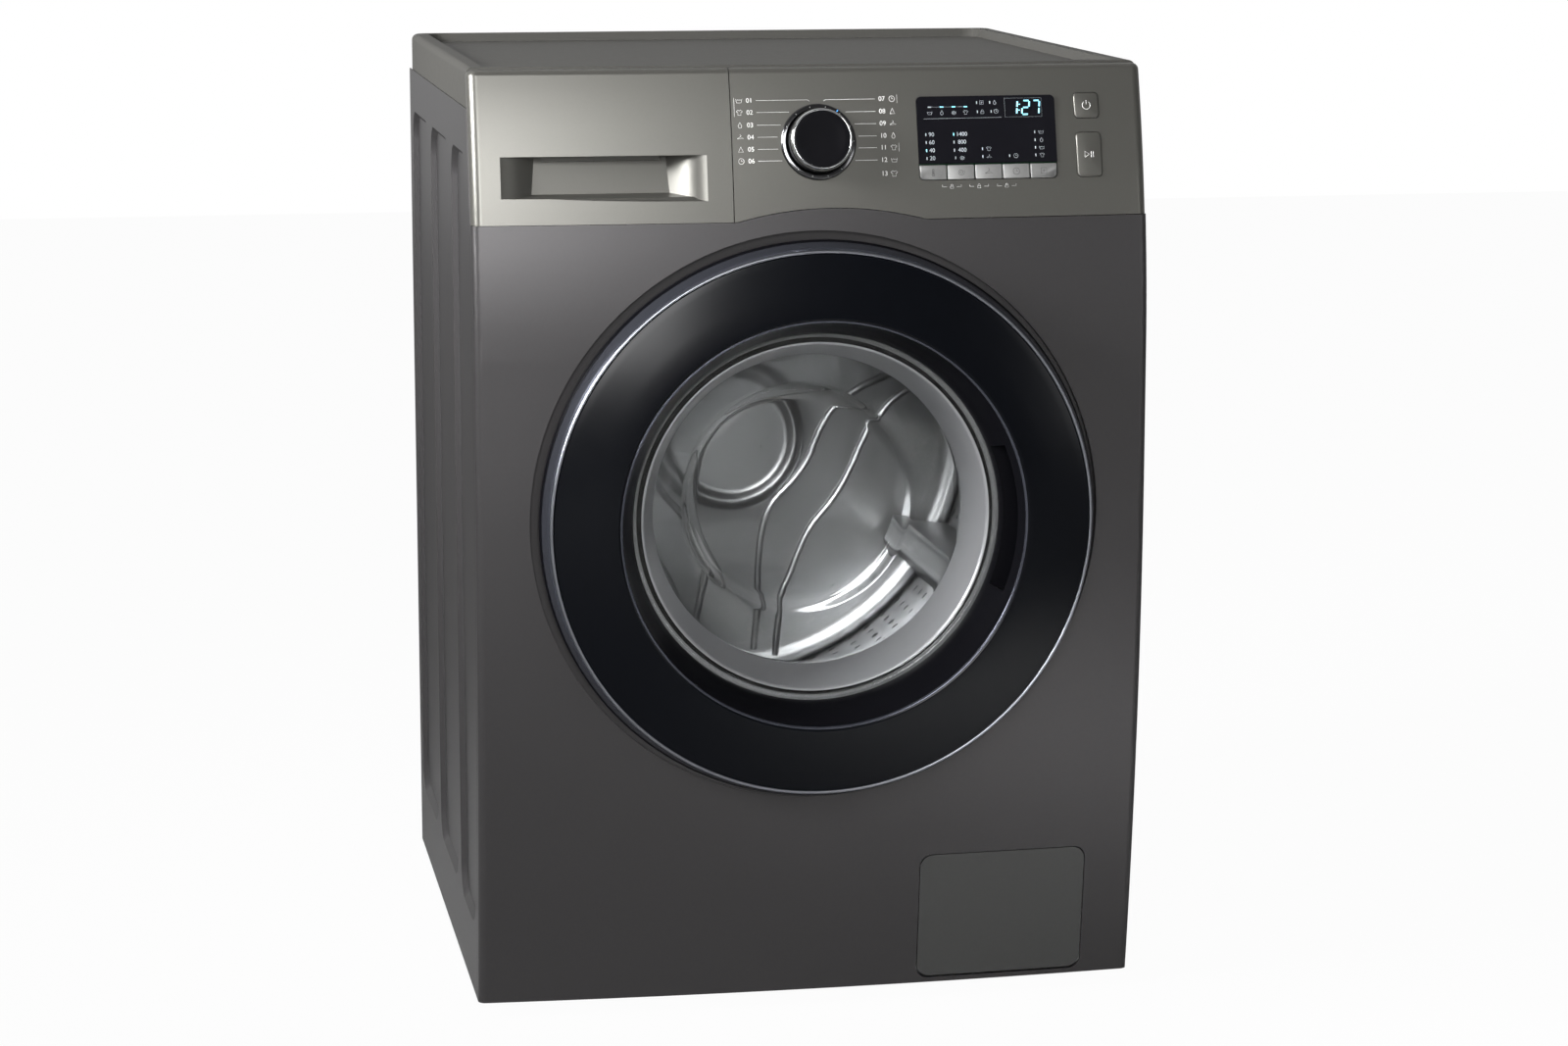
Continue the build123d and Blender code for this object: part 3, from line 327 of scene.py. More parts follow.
class Finishes:
    """The finishes of this machine, by what they are used on."""

    PAINT = Finish("graphite_paint", (0.051, 0.0488, 0.0502), 0.36, Texture.FLAKE, 2600.0,
                   0.08, 0.015, metallic=0.60, roughness_swing=0.03)
    ZINC = Finish("zinc_plate", (0.52, 0.53, 0.54), 0.38, Texture.SPANGLE, 90.0, 0.12, 0.02,
                  metallic=1.0)
    WORKTOP = Finish("worktop_moulding", (0.050, 0.049, 0.045), 0.50, Texture.GRAIN, 1500.0,
                     0.12, 0.22, specular=0.15)
    FASCIA = Finish("fascia_lacquer", (0.106, 0.104, 0.0945), 0.32, Texture.FLAKE, 3200.0,
                    0.05, 0.008, metallic=0.60, roughness_swing=0.015)
    FLAP = Finish("flap_lacquer", (0.044, 0.0445, 0.0435), 0.42, Texture.FLAKE, 2600.0, 0.14,
                  0.035, metallic=0.2)
    DISPLAY = Finish("display_glass_black", (0.006, 0.006, 0.008), 0.08, Texture.GLOSS, 60.0,
                     0.30, 0.01, roughness_swing=0.03, specular=0.15)
    KEY = Finish("key_silver_lacquer", (0.26, 0.26, 0.257), 0.34, Texture.FLAKE, 4000.0, 0.10,
                 0.03, metallic=0.6)
    CHROME = Finish("chrome_plate", (0.70, 0.71, 0.72), 0.10, Texture.GLOSS, 80.0, 0.06, 0.01,
                    metallic=1.0, roughness_swing=0.04)
    KNOB = Finish("knob_piano_black", (0.005, 0.005, 0.006), 0.14, Texture.GLOSS, 70.0, 0.25,
                  0.01, roughness_swing=0.04, specular=0.15)
    GLOSS_BLACK = Finish("door_piano_black", (0.0014, 0.0018, 0.003), 0.20, Texture.GLOSS, 50.0,
                         0.25, 0.008, roughness_swing=0.03, specular=0.15)
    FUNNEL = Finish("door_funnel_black", (0.003, 0.003, 0.004), 0.30, Texture.GLOSS, 50.0, 0.25,
                    0.008, roughness_swing=0.03, specular=0.04)
    BAND = Finish("door_band_lacquer", (0.075, 0.080, 0.10), 0.20, Texture.GLOSS, 90.0, 0.10,
                  0.01, metallic=0.75, roughness_swing=0.04)
    EDGE_LINE = Finish("door_edge_satin", (0.27, 0.28, 0.31), 0.32, Texture.GLOSS, 90.0, 0.08,
                       0.01, metallic=1.0, roughness_swing=0.05)
    FRAME_GREY = Finish("door_frame_moulding", (0.05, 0.05, 0.052), 0.48, Texture.GRAIN,
                        1200.0, 0.10, 0.15)
    COLLAR = Finish("door_collar_satin", (0.30, 0.305, 0.315), 0.34, Texture.TURNED, 700.0, 0.06,
                    0.03, metallic=0.5, roughness_swing=0.05)
    GLASS = Finish("door_bowl_glass", (0.93, 0.95, 0.95), 0.03, Texture.GLOSS, 12.0, 0.01,
                   0.02, 0.0006, 0.01, transmission=1.0, ior=1.47)
    SEAL = Finish("seal_rubber_grey", (0.30, 0.305, 0.31), 0.55, Texture.GRAIN, 700.0, 0.12,
                  0.10)
    DARK_RUBBER = Finish("dark_rubber", (0.022, 0.022, 0.023), 0.62, Texture.GRAIN, 800.0,
                         0.20, 0.15)
    DRUM = Finish("drum_stainless", (0.27, 0.27, 0.276), 0.30, Texture.TURNED, 900.0, 0.10,
                  0.04, metallic=1.0, roughness_swing=0.07)
    PADDLE = Finish("paddle_moulding", (0.17, 0.172, 0.178), 0.36, Texture.GRAIN, 900.0, 0.08,
                    0.08)
    ALUMINIUM = Finish("cast_alloy", (0.50, 0.50, 0.50), 0.48, Texture.GRAIN, 500.0, 0.14,
                       0.20, metallic=1.0)
    TUB = Finish("tub_moulding", (0.42, 0.43, 0.43), 0.50, Texture.GRAIN, 500.0, 0.10, 0.12)
    WHITE = Finish("white_moulding", (0.66, 0.66, 0.65), 0.42, Texture.GRAIN, 800.0, 0.06,
                   0.08)
    CONCRETE = Finish("weight_concrete", (0.33, 0.325, 0.31), 0.85, Texture.STONE, 160.0,
                      0.25, 0.50, 0.002)
    BOARD = Finish("circuit_board_green", (0.03, 0.12, 0.06), 0.40, Texture.GRAIN, 900.0,
                   0.20, 0.10)
    PRINT = Finish("print_white", (0.74, 0.74, 0.73), 0.55, Texture.GRAIN, 2000.0, 0.06, 0.02)
    DARK_PRINT = Finish("print_dark", (0.030, 0.030, 0.032), 0.55, Texture.GRAIN, 2000.0,
                        0.15, 0.02)
    GLOW = Finish("display_glow_cyan", (0.30, 0.78, 0.95), 0.40, Texture.GRAIN, 1500.0, 0.06,
                  0.01, glow=0.75)
    DIM = Finish("display_mark_pale", (0.46, 0.50, 0.54), 0.45, Texture.GRAIN, 1500.0, 0.08,
                 0.01, glow=0.12)
    DARK_CHROME = Finish("knob_ring_dark_chrome", (0.13, 0.13, 0.135), 0.16, Texture.GLOSS, 80.0,
                         0.10, 0.01, metallic=1.0, roughness_swing=0.05)
    BLUE_LIGHT = Finish("marker_light_blue", (0.05, 0.30, 0.90), 0.30, Texture.GRAIN, 1500.0,
                        0.08, 0.01, glow=1.2)

    BY_SLOT = {
        "cabinet_paint": PAINT, "zinc_steel": ZINC, "worktop_plastic": WORKTOP,
        "fascia_plastic": FASCIA, "flap_plastic": FLAP, "display_black": DISPLAY,
        "key_silver": KEY, "chrome_trim": CHROME, "knob_black": KNOB,
        "door_gloss_black": GLOSS_BLACK, "door_frame_grey": FRAME_GREY, "door_glass": GLASS,
        "seal_rubber": SEAL, "foot_rubber": DARK_RUBBER, "hose_rubber": DARK_RUBBER,
        "drum_steel": DRUM, "paddle_plastic": PADDLE, "cast_aluminium": ALUMINIUM,
        "tub_plastic": TUB, "white_plastic": WHITE, "concrete": CONCRETE,
        "board_green": BOARD,
    }

    @classmethod
    def dress_nodes(cls) -> None:
        """Give every carried-over CAD node the finish of its slot."""
        for row in frame["record"]["subparts"]:
            node = frame["nodes"][row["node"]]
            node.data.materials.clear()
            node.data.materials.append(cls.BY_SLOT[row["material_slot"]].material())


class Bench:
    """Hand operations that the sub-assemblies use to make their pieces."""

    DOUBLES = 0.00002
    LEVEL = 1e-6
    EDGE_STEPS = 3
    PLATE_SMOOTH = 40.0
    FIGURE_SHARE = 0.69
    FIGURE_DEPTH = 0.03

    @staticmethod
    def clear() -> None:
        """Go to object mode and drop the selection."""
        if bpy.context.mode != "OBJECT":
            bpy.ops.object.mode_set(mode="OBJECT")
        bpy.ops.object.select_all(action="DESELECT")

    @classmethod
    def trace(cls, name: str, points: list[Point]) -> bpy.types.Object:
        """Draw a chain of edges through points, in edit mode at the end.

        Args:
            name: The new object's name.
            points: The chain's points.

        Returns:
            The object, left in edit mode with its last point selected.
        """
        cls.clear()
        bpy.ops.mesh.primitive_plane_add(size=MM, location=(0, 0, 0))
        piece = bpy.context.object
        piece.name = name
        bpy.ops.object.mode_set(mode="EDIT")
        bpy.ops.mesh.select_mode(type="VERT")
        bpy.ops.mesh.select_all(action="SELECT")
        bpy.ops.mesh.merge(type="CENTER")
        bpy.ops.transform.translate(value=points[0])
        for start, end in zip(points, points[1:]):
            step = Vector(end) - Vector(start)
            bpy.ops.mesh.extrude_region_move(TRANSFORM_OT_translate={"value": step})
        return piece

    @classmethod
    def lathe(
        cls, name: str, outline: Outline, centre: Point, axis: Point = (0, 1, 0),
        steps: int = 144, smooth: float = 35.0,
    ) -> bpy.types.Object:
        """Spin an outline into a turned piece.

        Args:
            name: The new object's name.
            outline: Points of radius and height along the axis, in millimetres.
            centre: A point on the axis.
            axis: The direction of the axis.
            steps: The number of steps in the full turn.
            smooth: The angle in degrees under which edges are shaded smooth.

        Returns:
            The turned piece.
        """
        along = Vector(axis)
        side = along.cross(Vector((0, 0, 1))) if abs(along.z) < 0.9 else Vector((1, 0, 0))
        side.normalize()
        origin = Vector(centre)
        points = [tuple(origin + side * (r * MM) + along * (h * MM)) for r, h in outline]
        piece = cls.trace(name, points)
        bpy.ops.mesh.select_all(action="SELECT")
        bpy.ops.mesh.spin(steps=steps, angle=FULL_TURN, center=centre, axis=axis)
        cls.close(smooth)
        return piece

    @classmethod
    def close(cls, smooth: float = 35.0) -> None:
        """Merge the edited piece's doubled points, turn its faces outwards and shade it.

        Args:
            smooth: The angle in degrees under which edges are shaded smooth.
        """
        bpy.ops.mesh.select_all(action="SELECT")
        bpy.ops.mesh.remove_doubles(threshold=cls.DOUBLES)
        bpy.ops.mesh.normals_make_consistent(inside=False)
        bpy.ops.object.mode_set(mode="OBJECT")
        bpy.ops.object.shade_smooth_by_angle(angle=math.radians(smooth))

    @classmethod
    def slab(
        cls, name: str, size: Point, corner: float = 0.0, edge: float = 0.0,
        segments: int = 4,
    ) -> bpy.types.Object:
        """Make a plate lying in XY with its underside at zero height.

        Args:
            name: The new object's name.
            size: Width, length and thickness in millimetres.
            corner: Radius of its upright corners in millimetres.
            edge: Width of the bevel around its top in millimetres.
            segments: Steps in each rounding.

        Returns:
            The plate.
        """
        cls.clear()
        bpy.ops.mesh.primitive_cube_add(size=1.0)
        piece = bpy.context.object
        piece.name = name
        piece.scale = [value * MM for value in size]
        piece.location.z = size[2] * MM / 2
        bpy.ops.object.transform_apply(location=True, rotation=False, scale=True)
        if corner:
            cls.bevel(piece, corner, segments, upright=True)
        if edge:
            cls.bevel(piece, edge, cls.EDGE_STEPS, upright=False)
        bpy.ops.object.shade_smooth_by_angle(angle=math.radians(cls.PLATE_SMOOTH))
        return piece

    @staticmethod
    def pick(piece: bpy.types.Object, kind: str, wanted: Callable[..., bool]) -> None:
        """Select the faces or edges that meet a test and no others, then stay in edit mode.

        Args:
            piece: The active piece.
            kind: FACE or EDGE.
            wanted: The test.
        """
        bpy.ops.object.mode_set(mode="EDIT")
        bpy.ops.mesh.select_mode(type=kind)
        bpy.ops.mesh.select_all(action="DESELECT")
        bpy.ops.object.mode_set(mode="OBJECT")
        for element in piece.data.polygons if kind == "FACE" else piece.data.edges:
            element.select = wanted(element)
        bpy.ops.object.mode_set(mode="EDIT")

    @classmethod
    def bevel(cls, piece: bpy.types.Object, width: float, segments: int, upright: bool) -> None:
        """Round the upright edges or the top rim of a plate.

        Args:
            piece: The plate.
            width: The rounding in millimetres.
            segments: Steps in the rounding.
            upright: Whether the upright edges are meant, and not the top rim.
        """
        top = max(point.co.z for point in piece.data.vertices)

        def wanted(edge: bpy.types.MeshEdge) -> bool:
            """Tell whether an edge is one to round."""
            ends = [piece.data.vertices[index].co.z for index in edge.vertices]
            if upright:
                return abs(ends[0] - ends[1]) > cls.LEVEL
            return min(ends) > top - cls.LEVEL

        cls.pick(piece, "EDGE", wanted)
        bpy.ops.mesh.bevel(offset=width * MM, segments=segments, affect="EDGES")
        bpy.ops.mesh.select_mode(type="VERT")
        bpy.ops.object.mode_set(mode="OBJECT")

    @classmethod
    def bead(cls, name: str, points: list[Point], radius: float) -> bpy.types.Object:
        """Run a round bead along a smooth line.

        Args:
            name: The new object's name.
            points: The line's control points.
            radius: The bead's radius in millimetres.

        Returns:
            A mesh of the bead.
        """
        cls.clear()
        data = bpy.data.curves.new(name, "CURVE")
        data.dimensions = "3D"
        data.bevel_depth = radius * MM
        data.bevel_resolution = 3
        data.resolution_u = 5
        data.use_fill_caps = True
        line = data.splines.new("NURBS")
        line.points.add(len(points) - 1)
        for spot, point in zip(line.points, points):
            spot.co = (*point, 1.0)
        line.order_u = 3
        line.use_endpoint_u = True
        piece = bpy.data.objects.new(name, data)
        bpy.context.scene.collection.objects.link(piece)
        piece.select_set(True)
        bpy.context.view_layer.objects.active = piece
        bpy.ops.object.convert(target="MESH")
        piece = bpy.context.object
        bpy.ops.object.mode_set(mode="EDIT")
        cls.close()
        return piece

    @classmethod
    def letters(cls, name: str, text: str, height: float) -> bpy.types.Object:
        """Make flat figures centred on the origin in XY.

        Args:
            name: The new object's name.
            text: The figures.
            height: Their height in millimetres.

        Returns:
            A mesh of the figures.
        """
        cls.clear()
        bpy.ops.object.text_add(location=(0, 0, 0))
        piece = bpy.context.object
        piece.name = name
        piece.data.body = text
        piece.data.size = height * MM / cls.FIGURE_SHARE
        piece.data.align_x = "CENTER"
        piece.data.align_y = "CENTER"
        piece.data.resolution_u = 4
        piece.data.extrude = cls.FIGURE_DEPTH * MM
        bpy.ops.object.convert(target="MESH")
        return bpy.context.object

    @staticmethod
    def place(piece: bpy.types.Object, pose: Matrix) -> bpy.types.Object:
        """Move a piece's mesh to a pose, its object staying at the origin."""
        piece.data.transform(pose)
        piece.data.update()
        return piece

    @classmethod
    def join(cls, name: str, pieces: list[bpy.types.Object]) -> bpy.types.Object:
        """Join pieces into one.

        Args:
            name: The name of the joined piece.
            pieces: The pieces to join.

        Returns:
            The joined piece.
        """
        cls.clear()
        for piece in pieces:
            piece.select_set(True)
        bpy.context.view_layer.objects.active = pieces[0]
        if len(pieces) > 1:
            bpy.ops.object.join()
        pieces[0].name = name
        return pieces[0]

    @staticmethod
    def hand_over(
        piece: bpy.types.Object, body: str, slot: str, finish: Finish,
        stands_for: tuple[str, ...] = (),
    ) -> bpy.types.Object:
        """Dress a finished piece, hang it on its CAD body and hide the CAD nodes that it replaces.

        Args:
            piece: The finished piece.
            body: The CAD body that it rides on.
            slot: The record's material slot of its finish; not used.
            finish: Its finish.
            stands_for: CAD nodes that it replaces.

        Returns:
            The same piece.
        """
        piece.data.name = piece.name
        if not piece.data.materials:
            piece.data.materials.append(finish.material())
        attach(piece, body)
        if stands_for:
            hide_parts(*stands_for)
        LOG.info("%s rides on %s", piece.name, body)
        return piece


@dataclass(frozen=True)
class BowedFront:
    """The bowed, leaning front that the controls sit on, in millimetres."""

    belly_y: float = -302.0
    bow_radius: float = 4505.0
    upright_high: float = 600.0
    high_radius: float = 823.0

    def pose(self, x: float, z: float, proud: float = 0.0) -> Matrix:
        """Give the pose of a piece that lies on the front.

        Args:
            x: Place across the front, in millimetres.
            z: Height, in millimetres.
            proud: Distance in front of the surface, in millimetres.

        Returns:
            A matrix whose X runs to the right, Y up and Z outwards.
        """
        over = max(0.0, z - self.upright_high)
        setback = self.high_radius - math.sqrt(self.high_radius**2 - over**2)
        reach = self.bow_radius - setback
        turn_x, turn_y = x / reach, -math.sqrt(reach**2 - x**2) / reach
        rise = over / self.high_radius
        level = math.sqrt(1 - rise**2)
        out = Vector((turn_x * level, turn_y * level, rise))
        right = Vector((-turn_y, turn_x, 0.0))
        up = out.cross(right)
        y = self.belly_y + self.bow_radius - math.sqrt(reach**2 - x**2)
        origin = (Vector((x, y, z)) + out * proud) * MM
        turned = Matrix((right, up, out)).transposed().to_4x4()
        return Matrix.Translation(origin) @ turned


FRONT = BowedFront()


@dataclass(frozen=True)
class Lamp:
    """One soft panel lamp: where it hangs, what it faces, its size, watts and spread in degrees."""

    name: str
    place: Point
    target: Point
    size: tuple[float, float]
    power: float
    spread: float = 180.0

    def hang(self) -> None:
        """Put the lamp into the scene."""
        data = bpy.data.lights.new(self.name, "AREA")
        data.shape = "RECTANGLE"
        data.size, data.size_y = self.size
        data.energy = self.power
        data.spread = math.radians(self.spread)
        lamp = bpy.data.objects.new(self.name, data)
        bpy.context.scene.collection.objects.link(lamp)
        lamp.visible_camera = False
        lamp.location = self.place
        aim = Vector(self.target) - Vector(self.place)
        lamp.rotation_euler = aim.to_track_quat("-Z", "Y").to_euler()


@dataclass
class Studio:
    """Floor, lamps, world and camera."""

    lamps: tuple[Lamp, ...] = (
        Lamp("card_left", (-0.98, -4.3, 1.90), (-0.1, -0.3, 0.62), (1.5, 2.0), 160.0),
        Lamp("key_left", (-2.5, -0.8, 1.75), (-0.3, 0.0, 0.92), (1.0, 1.0), 21.0, 50.0),
        Lamp("fill_right", (3.0, -3.6, 0.9), (0.2, -0.3, 0.3), (1.2, 1.2), 13.0),
        Lamp("top_soft", (-0.9, 0.2, 2.6), (0.0, 0.0, 0.85), (1.6, 1.6), 3.0),
        Lamp("floor_wash", (0.55, -1.05, 1.9), (0.5, -1.0, 0.0), (0.3, 0.3), 7.0, 35.0),
        Lamp("side_card", (-3.2, -0.5, 1.2), (-0.3, 0.0, 0.8), (0.8, 1.0), 5.0),
    )
    camera_place: Point = (-0.623, -3.542, 1.057)
    camera_yaw: float = 10.36
    camera_pitch: float = 9.69
    lens: float = 87.6
    lens_shift: float = -0.03
    sensor: float = 36.0
    floor_size: float = 14.0
    floor_colour: Colour = (0.38, 0.38, 0.377)
    floor_roughness: float = 0.9
    floor_specular: float = 0.1
    floor_mottle: float = 3.0
    floor_bump: float = 0.02
    floor_paper: float = 0.97
    front_grey: float = 0.02
    room_grey: float = 0.15
    back_grey: float = 0.48
    grey_from: float = -0.5
    grey_to: float = 0.6

    def build(self) -> None:
        """Set up everything around the object."""
        self.floor()
        self.world()
        for lamp in self.lamps:
            lamp.hang()
        self.camera()
        bpy.context.scene.view_settings.view_transform = "Standard"

    def floor(self) -> None:
        """Lay the pale floor."""
        Bench.clear()
        bpy.ops.mesh.primitive_grid_add(x_subdivisions=4, y_subdivisions=4, size=self.floor_size)
        floor = bpy.context.object
        floor.name = "studio_floor"
        material = bpy.data.materials.new("studio_floor_paint")
        material.use_nodes = True
        board = NodeBoard(material.node_tree)
        shader = material.node_tree.nodes["Principled BSDF"]
        shader.inputs["Base Color"].default_value = (*self.floor_colour, 1.0)
        shader.inputs["Roughness"].default_value = self.floor_roughness
        shader.inputs["Specular IOR Level"].default_value = self.floor_specular
        mottle = board.add("ShaderNodeTexNoise", Scale=self.floor_mottle)
        bump = board.add("ShaderNodeBump", Strength=self.floor_bump)
        board.wire(mottle.outputs["Fac"], bump.inputs["Height"])
        board.wire(bump.outputs[0], shader.inputs["Normal"])
        paper = board.add("ShaderNodeEmission")
        ray = board.add("ShaderNodeLightPath")
        mix = board.add("ShaderNodeMixShader")
        seen = board.math("MULTIPLY", ray.outputs["Is Camera Ray"], self.floor_paper)
        board.wire(seen, mix.inputs[0])
        board.wire(shader.outputs[0], mix.inputs[1])
        board.wire(paper.outputs[0], mix.inputs[2])
        board.wire(mix.outputs[0], material.node_tree.nodes["Material Output"].inputs["Surface"])
        floor.data.materials.append(material)

    def world(self) -> None:
        """Make a white room for the camera that is greyer towards the front for reflections."""
        world = bpy.data.worlds.new("studio_world")
        world.use_nodes = True
        bpy.context.scene.world = world
        board = NodeBoard(world.node_tree)
        background = world.node_tree.nodes["Background"]
        ray = board.add("ShaderNodeLightPath")
        place = board.add("ShaderNodeTexCoord")
        parts = board.add("ShaderNodeSeparateXYZ")
        board.wire(place.outputs["Generated"], parts.inputs[0])
        shade = board.add("ShaderNodeMapRange")
        shade.inputs["From Min"].default_value = self.grey_from
        shade.inputs["From Max"].default_value = self.grey_to
        shade.inputs["To Min"].default_value = self.front_grey
        shade.inputs["To Max"].default_value = self.back_grey
        board.wire(parts.outputs["Y"], shade.inputs["Value"])
        through = ray.outputs["Is Transmission Ray"]
        seen = board.math("MAXIMUM", ray.outputs["Is Camera Ray"], through)
        glossy = board.math("MULTIPLY", ray.outputs["Is Glossy Ray"], shade.outputs[0])
        strength = board.math("MAXIMUM", board.math("MAXIMUM", seen, glossy), self.room_grey)
        board.wire(strength, background.inputs["Strength"])
        background.inputs["Color"].default_value = (1.0, 1.0, 1.0, 1.0)

    def camera(self) -> None:
        """Stand the camera where the photograph was taken from."""
        data = bpy.data.cameras.new("photo_camera")
        data.lens = self.lens
        data.sensor_width = self.sensor
        data.shift_y = self.lens_shift
        camera = bpy.data.objects.new("photo_camera", data)
        bpy.context.scene.collection.objects.link(camera)
        camera.location = self.camera_place
        tilt = math.radians(90 - self.camera_pitch)
        camera.rotation_euler = (tilt, 0.0, -math.radians(self.camera_yaw))
        bpy.context.scene.camera = camera


class Curve:
    """Helpers that round the corners of an outline before it is spun."""

    @staticmethod
    def soften(points: list[tuple[float, float, float]], steps: int = 5) -> Outline:
        """Round the corners of an open outline.

        Args:
            points: Radius, height and how far the rounding reaches along each side.
            steps: Points in each rounding.

        Returns:
            The outline with its corners rounded.
        """
        outline: Outline = []
        last = len(points) - 1
        for index, (r, h, reach) in enumerate(points):
            if index in (0, last) or not reach:
                outline.append((r, h))
                continue
            corner = Vector((r, h))
            before = Vector(points[index - 1][:2]) - corner
            after = Vector(points[index + 1][:2]) - corner
            start = corner + before.normalized() * min(reach, before.length / 2)
            end = corner + after.normalized() * min(reach, after.length / 2)
            for step in range(steps + 1):
                t = step / steps
                spot = start * (1 - t) ** 2 + corner * (2 * t * (1 - t)) + end * t**2
                outline.append((spot.x, spot.y))
        return outline


@dataclass
class Door:
    """The round door: lacquered band, gloss ring, funnel with finger pocket, glass bowl."""

    body: str = "door"
    centre: Point = (0.0, 0.0, AXIS_Z)
    steps: int = 180
    pocket_half_angle: float = 21.0
    pocket_front: float = -327.0
    pocket_back: float = -307.0
    pocket_reach: float = 1.17
    funnel_wall: float = 1.2
    funnel_smooth: float = 30.0

    def build(self) -> None:
        """Make and dress the door's visible pieces."""
        self.ring()
        self.band()
        self.inner_lip()
        self.funnel()
        self.collar()
        self.bowl()

    def ring(self) -> None:
        """Spin the wide gloss ring with its faint crown."""
        outline = Curve.soften([
            (244.6, -306.0, 0), (242.6, -313.0, 1.0), (240.2, -327.0, 1.0), (237.6, -331.6, 1.2),
            (222.0, -334.4, 9.0), (200.0, -337.9, 9.0), (181.6, -340.0, 1.4),
            (179.0, -338.4, 0.8), (178.6, -335.2, 0.6), (200.0, -332.0, 4.0),
            (236.8, -327.2, 2.0), (241.0, -313.2, 1.0), (243.9, -306.0, 0), (244.6, -306.0, 0),
        ])
        piece = Bench.lathe("door_ring", outline, self.centre, steps=self.steps)
        Bench.hand_over(piece, self.body, "door_gloss_black", Finishes.GLOSS_BLACK,
                        ("door_outer_ring",))

    def band(self) -> None:
        """Spin the black rim, whose near-black finish is painted shade for the shadow gap round the
        door, the bluish bevel band inside it and the bright line inside that.
        """
        outline = Curve.soften([
            (244.4, -305.2, 0), (247.5, -305.2, 0.6), (247.5, -310.0, 1.0), (246.1, -312.6, 0.4),
            (245.2, -311.6, 0.3), (244.4, -305.2, 0),
        ])
        # Painted shade: the door's real outer rim gets the near-black, almost unreflecting funnel
        # finish so that it reads as the shadow gap between door and front panel.
        piece = Bench.lathe("door_rim_painted_shadow", outline, self.centre, steps=self.steps)
        Bench.hand_over(piece, self.body, "door_gloss_black", Finishes.FUNNEL)
        outline = Curve.soften([
            (243.6, -309.0, 0), (245.1, -311.7, 0.3), (246.0, -313.0, 0.8), (242.4, -327.8, 1.0),
            (240.9, -330.6, 0.4), (240.3, -327.2, 0.3), (242.9, -313.0, 1.0), (243.6, -309.0, 0),
        ])
        piece = Bench.lathe("door_band", outline, self.centre, steps=self.steps)
        Bench.hand_over(piece, self.body, "door_gloss_black", Finishes.BAND)
        outline = Curve.soften([
            (240.8, -330.2, 0), (240.7, -331.5, 0.5), (239.6, -332.4, 0.6), (238.2, -332.2, 0.5),
            (237.8, -331.2, 0), (240.8, -330.2, 0),
        ])
        piece = Bench.lathe("door_edge_line", outline, self.centre, steps=self.steps)
        Bench.hand_over(piece, self.body, "chrome_trim", Finishes.EDGE_LINE)

    def inner_lip(self) -> None:
        """Spin the fine bright edge where the ring meets the funnel."""
        outline = Curve.soften([
            (178.45, -337.4, 0), (178.45, -339.2, 0.4), (179.6, -340.0, 0.5), (180.6, -339.9, 0.3),
            (179.4, -338.2, 0.4), (178.45, -337.4, 0),
        ])
        piece = Bench.lathe("door_inner_lip", outline, self.centre, steps=self.steps)
        Bench.hand_over(piece, self.body, "door_gloss_black", Finishes.BAND)

    def funnel(self) -> None:
        """Spin the black funnel and sink the finger pocket into its right side."""
        outline: Outline = [
            (178.3, -337.0), (176.6, -333.0), (174.2, self.pocket_front), (168.4, -316.0),
            (165.4, self.pocket_back), (164.6, -303.0), (164.2, -298.0), (164.2, -294.0),
        ]
        piece = Bench.lathe("door_funnel_wall", outline, self.centre, steps=self.steps)
        Bench.pick(piece, "FACE", self.in_pocket)
        bpy.ops.mesh.extrude_region_move()
        bpy.ops.transform.resize(value=(self.pocket_reach, 1.0, self.pocket_reach),
                                 center_override=self.centre)
        bpy.ops.object.mode_set(mode="OBJECT")
        wall = piece.modifiers.new("wall", "SOLIDIFY")
        wall.thickness = self.funnel_wall * MM
        wall.offset = 1.0
        bpy.ops.object.modifier_apply(modifier=wall.name)
        bpy.ops.object.shade_smooth_by_angle(angle=math.radians(self.funnel_smooth))
        Bench.hand_over(piece, self.body, "door_gloss_black", Finishes.FUNNEL, ("door_funnel",))

    def in_pocket(self, face: bpy.types.MeshPolygon) -> bool:
        """Tell whether a face of the funnel lies where the finger pocket goes."""
        spot = face.center / MM
        angle = math.degrees(math.atan2(spot.z - AXIS_Z / MM, spot.x))
        inside = self.pocket_front < spot.y < self.pocket_back
        return inside and abs(angle) < self.pocket_half_angle

    def collar(self) -> None:
        """Spin the satin collar that lines the mouth of the glass bowl."""
        outline = Curve.soften([
            (153.4, -292.6, 0), (154.9, -293.9, 0.5), (156.0, -294.0, 0.4), (156.0, -293.7, 0),
            (155.0, -293.4, 0.4), (153.6, -290.0, 1.0), (140.7, -252.8, 0), (140.0, -252.8, 0),
            (152.6, -289.8, 1.0), (153.4, -292.6, 0),
        ])
        piece = Bench.lathe("door_bowl_collar", outline, self.centre, steps=self.steps)
        Bench.hand_over(piece, self.body, "door_frame_grey", Finishes.COLLAR)

    def bowl(self) -> None:
        """Spin the thick glass bowl: flange, step, cone and flat bottom."""
        outline = Curve.soften([
            (0.0, -186.2, 0), (60.0, -187.6, 12.0), (98.0, -190.0, 5.0), (106.5, -194.6, 5.0),
            (146.0, -250.0, 4.0), (159.5, -288.0, 4.0), (162.0, -289.2, 1.0), (168.0, -289.2, 0.8),
            (168.0, -293.6, 0.8), (155.6, -293.6, 1.6), (154.0, -290.0, 2.0), (141.0, -252.6, 4.0),
            (102.0, -199.4, 5.0), (95.0, -195.2, 5.0), (60.0, -192.6, 12.0), (0.0, -191.0, 0),
        ], steps=7)
        piece = Bench.lathe("door_bowl", outline, self.centre, steps=self.steps, smooth=60.0)
        Bench.hand_over(piece, self.body, "door_glass", Finishes.GLASS, ("door_glass_bowl",))


